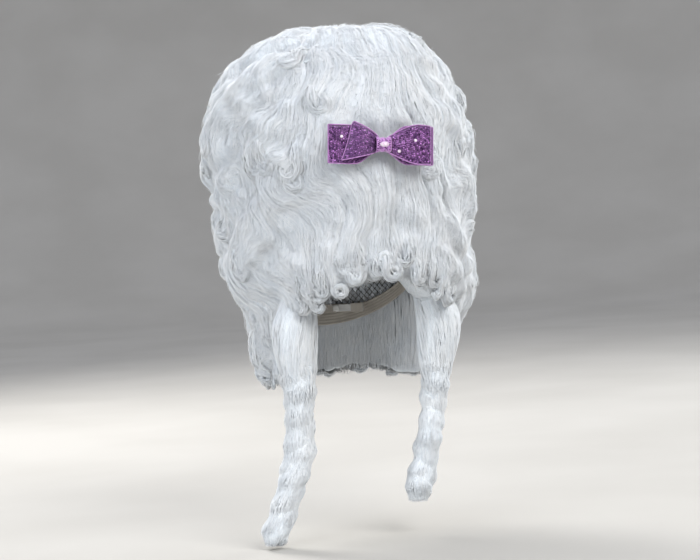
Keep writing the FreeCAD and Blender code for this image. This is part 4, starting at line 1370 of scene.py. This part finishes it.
def rim_at(angle, grow):
    height = np.full(np.shape(angle), RIM_HEIGHT)
    for _ in range(12):
        height = 0.5 * height + 0.5 * (RIM_HEIGHT + RIM_SLOPE * on_head(angle, height, grow)[..., 1])
    return height


def facing_in(grid):
    """The same grid, turned if need be so that its front faces the middle of the head."""
    out = np.cross(np.gradient(grid, axis=1), np.gradient(grid, axis=0))
    inward = np.array([0, 0, -HEAD[2]]) - grid
    return grid if (out * inward).sum() > 0 else grid[::-1]


def add_net():
    """The elastic net as crossing threads from the crown to the rim."""
    net = Hair()
    threads, points = 78, 46
    for lean in (-1, 1):
        start = (np.arange(threads) * TURN / threads)[:, None]
        tilt = np.linspace(0.06, 2.3, points)[None]
        size = HEAD + 0.75 * MM
        angle = start + lean * 1.35 * tilt
        places = np.stack([size[0] * np.sin(tilt) * np.cos(angle), size[1] * np.sin(tilt) * np.sin(angle),
                           -HEAD[2] + size[2] * np.cos(tilt) + 0 * angle], -1)
        below = places[..., 2] < RIM_HEIGHT + RIM_SLOPE * places[..., 1]
        last = np.where(below.any(1), below.argmax(1) - 1, points - 1)
        lines = np.stack([resample(places[..., k], last) for k in range(3)], -1)
        facing = unit(lines - [0, 0, -HEAD[2]])
        net.strands(lines + lean * 0.22 * MM * facing, np.full((threads, points), 0.36 * MM), facing)
    net.build("cap_threads", "wig", "cap_net", cloth_skin["net"])


def trim_part(piece, node, body="wig"):
    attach(piece, body)
    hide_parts(node)


def add_bands():
    """Ribbed elastic sewn round the inside of the rim, and the stiffened ear tabs."""
    for name, node, start, end in (
        ("band_front", "front_band", 190.3, 349.7),
        ("band_nape", "nape_band", 10.8, 169.2),
    ):
        angle = np.radians(np.linspace(start, end, 130))[None]
        share = np.linspace(0.02, 0.98, 25)[:, None]
        rim = rim_at(angle, -0.3 * MM)
        rib = 0.2 * MM * np.cos(share * 5 * TURN) + 0.12 * MM * np.sin(angle * 260)
        grid = facing_in(on_head(angle, rim + 16 * MM * share, -1.15 * MM + rib))
        band = sheet_piece(name, grid, 0.7 * MM, cloth_skin["band"])
        trim_part(band, node)
    for word, side in SIDES:
        forward = np.linspace(-43.6, -16.4, 25)[None] * MM
        share = np.linspace(0, 1, 27)[:, None]
        corner = 1 - 0.14 * np.clip(share - 0.6, 0, 1) * np.abs((forward + 30 * MM) / (13.6 * MM)) ** 4
        upper = RIM_HEIGHT + RIM_SLOPE * forward - 0.5 * MM
        height = upper + (-131.5 * MM - upper) * share * corner
        size = HEAD + 0.6 * MM
        ridge = 0.25 * MM * np.cos(share * 4 * TURN)
        level = 1 - (forward / size[1]) ** 2 - ((height + HEAD[2]) / size[2]) ** 2
        across = side * (size[0] * np.sqrt(level) - ridge)
        grid = facing_in(np.stack(np.broadcast_arrays(across, forward, height), -1))
        tab = sheet_piece("ear_patch_" + word, grid, 0.8 * MM, cloth_skin["band"])
        trim_part(tab, "ear_tab_" + word)


STRAP_TURN = math.radians(-28)


def on_strap(side, run, depth, rise):
    """Places from millimetres along a strap from its hook, out of the head and up."""
    ahead = np.array([side * math.cos(STRAP_TURN), math.sin(STRAP_TURN), 0])
    outward = np.array([-side * math.sin(STRAP_TURN), math.cos(STRAP_TURN), 0])
    seat = np.array([side * 9.1, 87, -132]) * MM
    run, depth, rise = np.broadcast_arrays(run, depth, rise)
    return seat + (run[..., None] * ahead + depth[..., None] * outward + rise[..., None] * [0, 0, 1]) * MM


def add_strap(side, word):
    """An adjusting strap with the hook that it slides with."""
    run, rise = np.linspace(3.0, 34, 60)[None], np.linspace(-3.9, 3.9, 17)[:, None]
    rib = 0.14 * np.cos(rise * 4.6) + 0.1 * np.cos(run * 5)
    grid = facing_in(on_strap(side, run, rib, rise))
    strap = sheet_piece("strap_" + word, grid, 0.7 * MM, cloth_skin["strap"])
    path = np.radians(np.linspace(0, 250, 30))[None]
    hook_run = np.where(path < 3.1, 1.2 - 1.1 * np.sin(path), 1.2 + 5.4 * (path - 3.1) / 1.26) + 0.1
    hook_run[0, :4] = np.linspace(6.6, 1.6, 4)
    hook_depth = -1.0 * np.cos(np.minimum(path, math.pi))
    grid = on_strap(side, hook_run, hook_depth, np.linspace(-3.2, 3.2, 7)[:, None])
    hook = sheet_piece("strap_hook_" + word, grid, 0.45 * MM, cloth_skin["hook"])
    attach(hook, "strap_" + word)
    trim_part(strap, "nape_strap_" + word, "strap_" + word)


def add_sleeve(side, word):
    """The flat sleeve that a strap slides in."""
    around = np.linspace(0, TURN, 40, endpoint=False)[None]
    depth = 1.45 * np.sign(np.cos(around)) * np.abs(np.cos(around)) ** 0.35
    tall = 4.95 * np.sign(np.sin(around)) * np.abs(np.sin(around)) ** 0.35
    length = np.linspace(20.2, 33.8, 25)[:, None]
    pucker = 0.1 * np.cos(length * 4) * np.abs(np.sin(around))
    grid = on_strap(side, length, depth * (1 + pucker), tall)
    sleeve = sheet_piece("sleeve_" + word, grid, 0.4 * MM, cloth_skin["band"], around=True)
    trim_part(sleeve, "strap_sleeve_" + word)


def add_pockets():
    """The strip of five pockets that the hooks reach."""
    angle = np.radians(np.linspace(90 - 20.2, 90 + 20.2, 90))[None]
    share = np.linspace(0, 1, 15)[:, None]
    stitch = np.abs(np.sin(math.pi * (np.linspace(-2.5, 2.5, 90)[None] + 0.5)))
    puff = (0.25 + 0.75 * stitch ** 0.5) * (0.35 + 0.65 * share) * MM
    grid = facing_in(on_head(angle, (-136.4 + 8.8 * share) * MM, -1.9 * MM - puff))
    strip = sheet_piece("pocket_strip", grid, 0.3 * MM, cloth_skin["band"])
    trim_part(strip, "hook_pockets")


def add_label():
    """The blank care label."""
    across = np.linspace(-14.9, 14.9, 41)[None]
    down = np.linspace(-98.1, -117.9, 29)[:, None]
    curl = 0.5 * np.sin(across * 0.16 + 0.6) + 0.3 * np.cos(down * 0.3)
    grid = facing_in(np.stack(np.broadcast_arrays(across, 90.2 + 0.5 * curl - 0.3, down), -1) * MM)
    label = sheet_piece("label", grid, 0.25 * MM, cloth_skin["label"])
    trim_part(label, "care_label")


# ---- The whole ----

cloth_skin = {
    "net": woven_material("net_threads", (0.55, 0.54, 0.51), (0.72, 0.71, 0.68), 0.9 * MM),
    "band": woven_material("band", (0.46, 0.42, 0.37), (0.58, 0.54, 0.48), 1.1 * MM),
    "strap": woven_material("strap", (0.74, 0.74, 0.73), (0.86, 0.86, 0.85), 0.9 * MM),
    "hook": woven_material("hook_plastic", (0.80, 0.80, 0.78), (0.90, 0.90, 0.88), 6 * MM, (0.22, 0.36)),
    "label": woven_material("label", (0.80, 0.80, 0.79), (0.91, 0.91, 0.90), 0.5 * MM),
}

hair_skin = hair_material("hair", (0.76, 0.815, 0.875), (0.915, 0.94, 0.965))
under_skin = under_hair_material()
add_camera()
add_lights()
add_stage()
dress_cad()
add_bow()
add_net()
add_bands()
for word, side in SIDES:
    add_strap(side, word)
    add_sleeve(side, word)
add_pockets()
add_label()
add_tower_hair()
add_crown_hair()
add_low_hair()
for word, side in SIDES:
    add_temple_lock(word, side)
    add_ringlet(word, side)
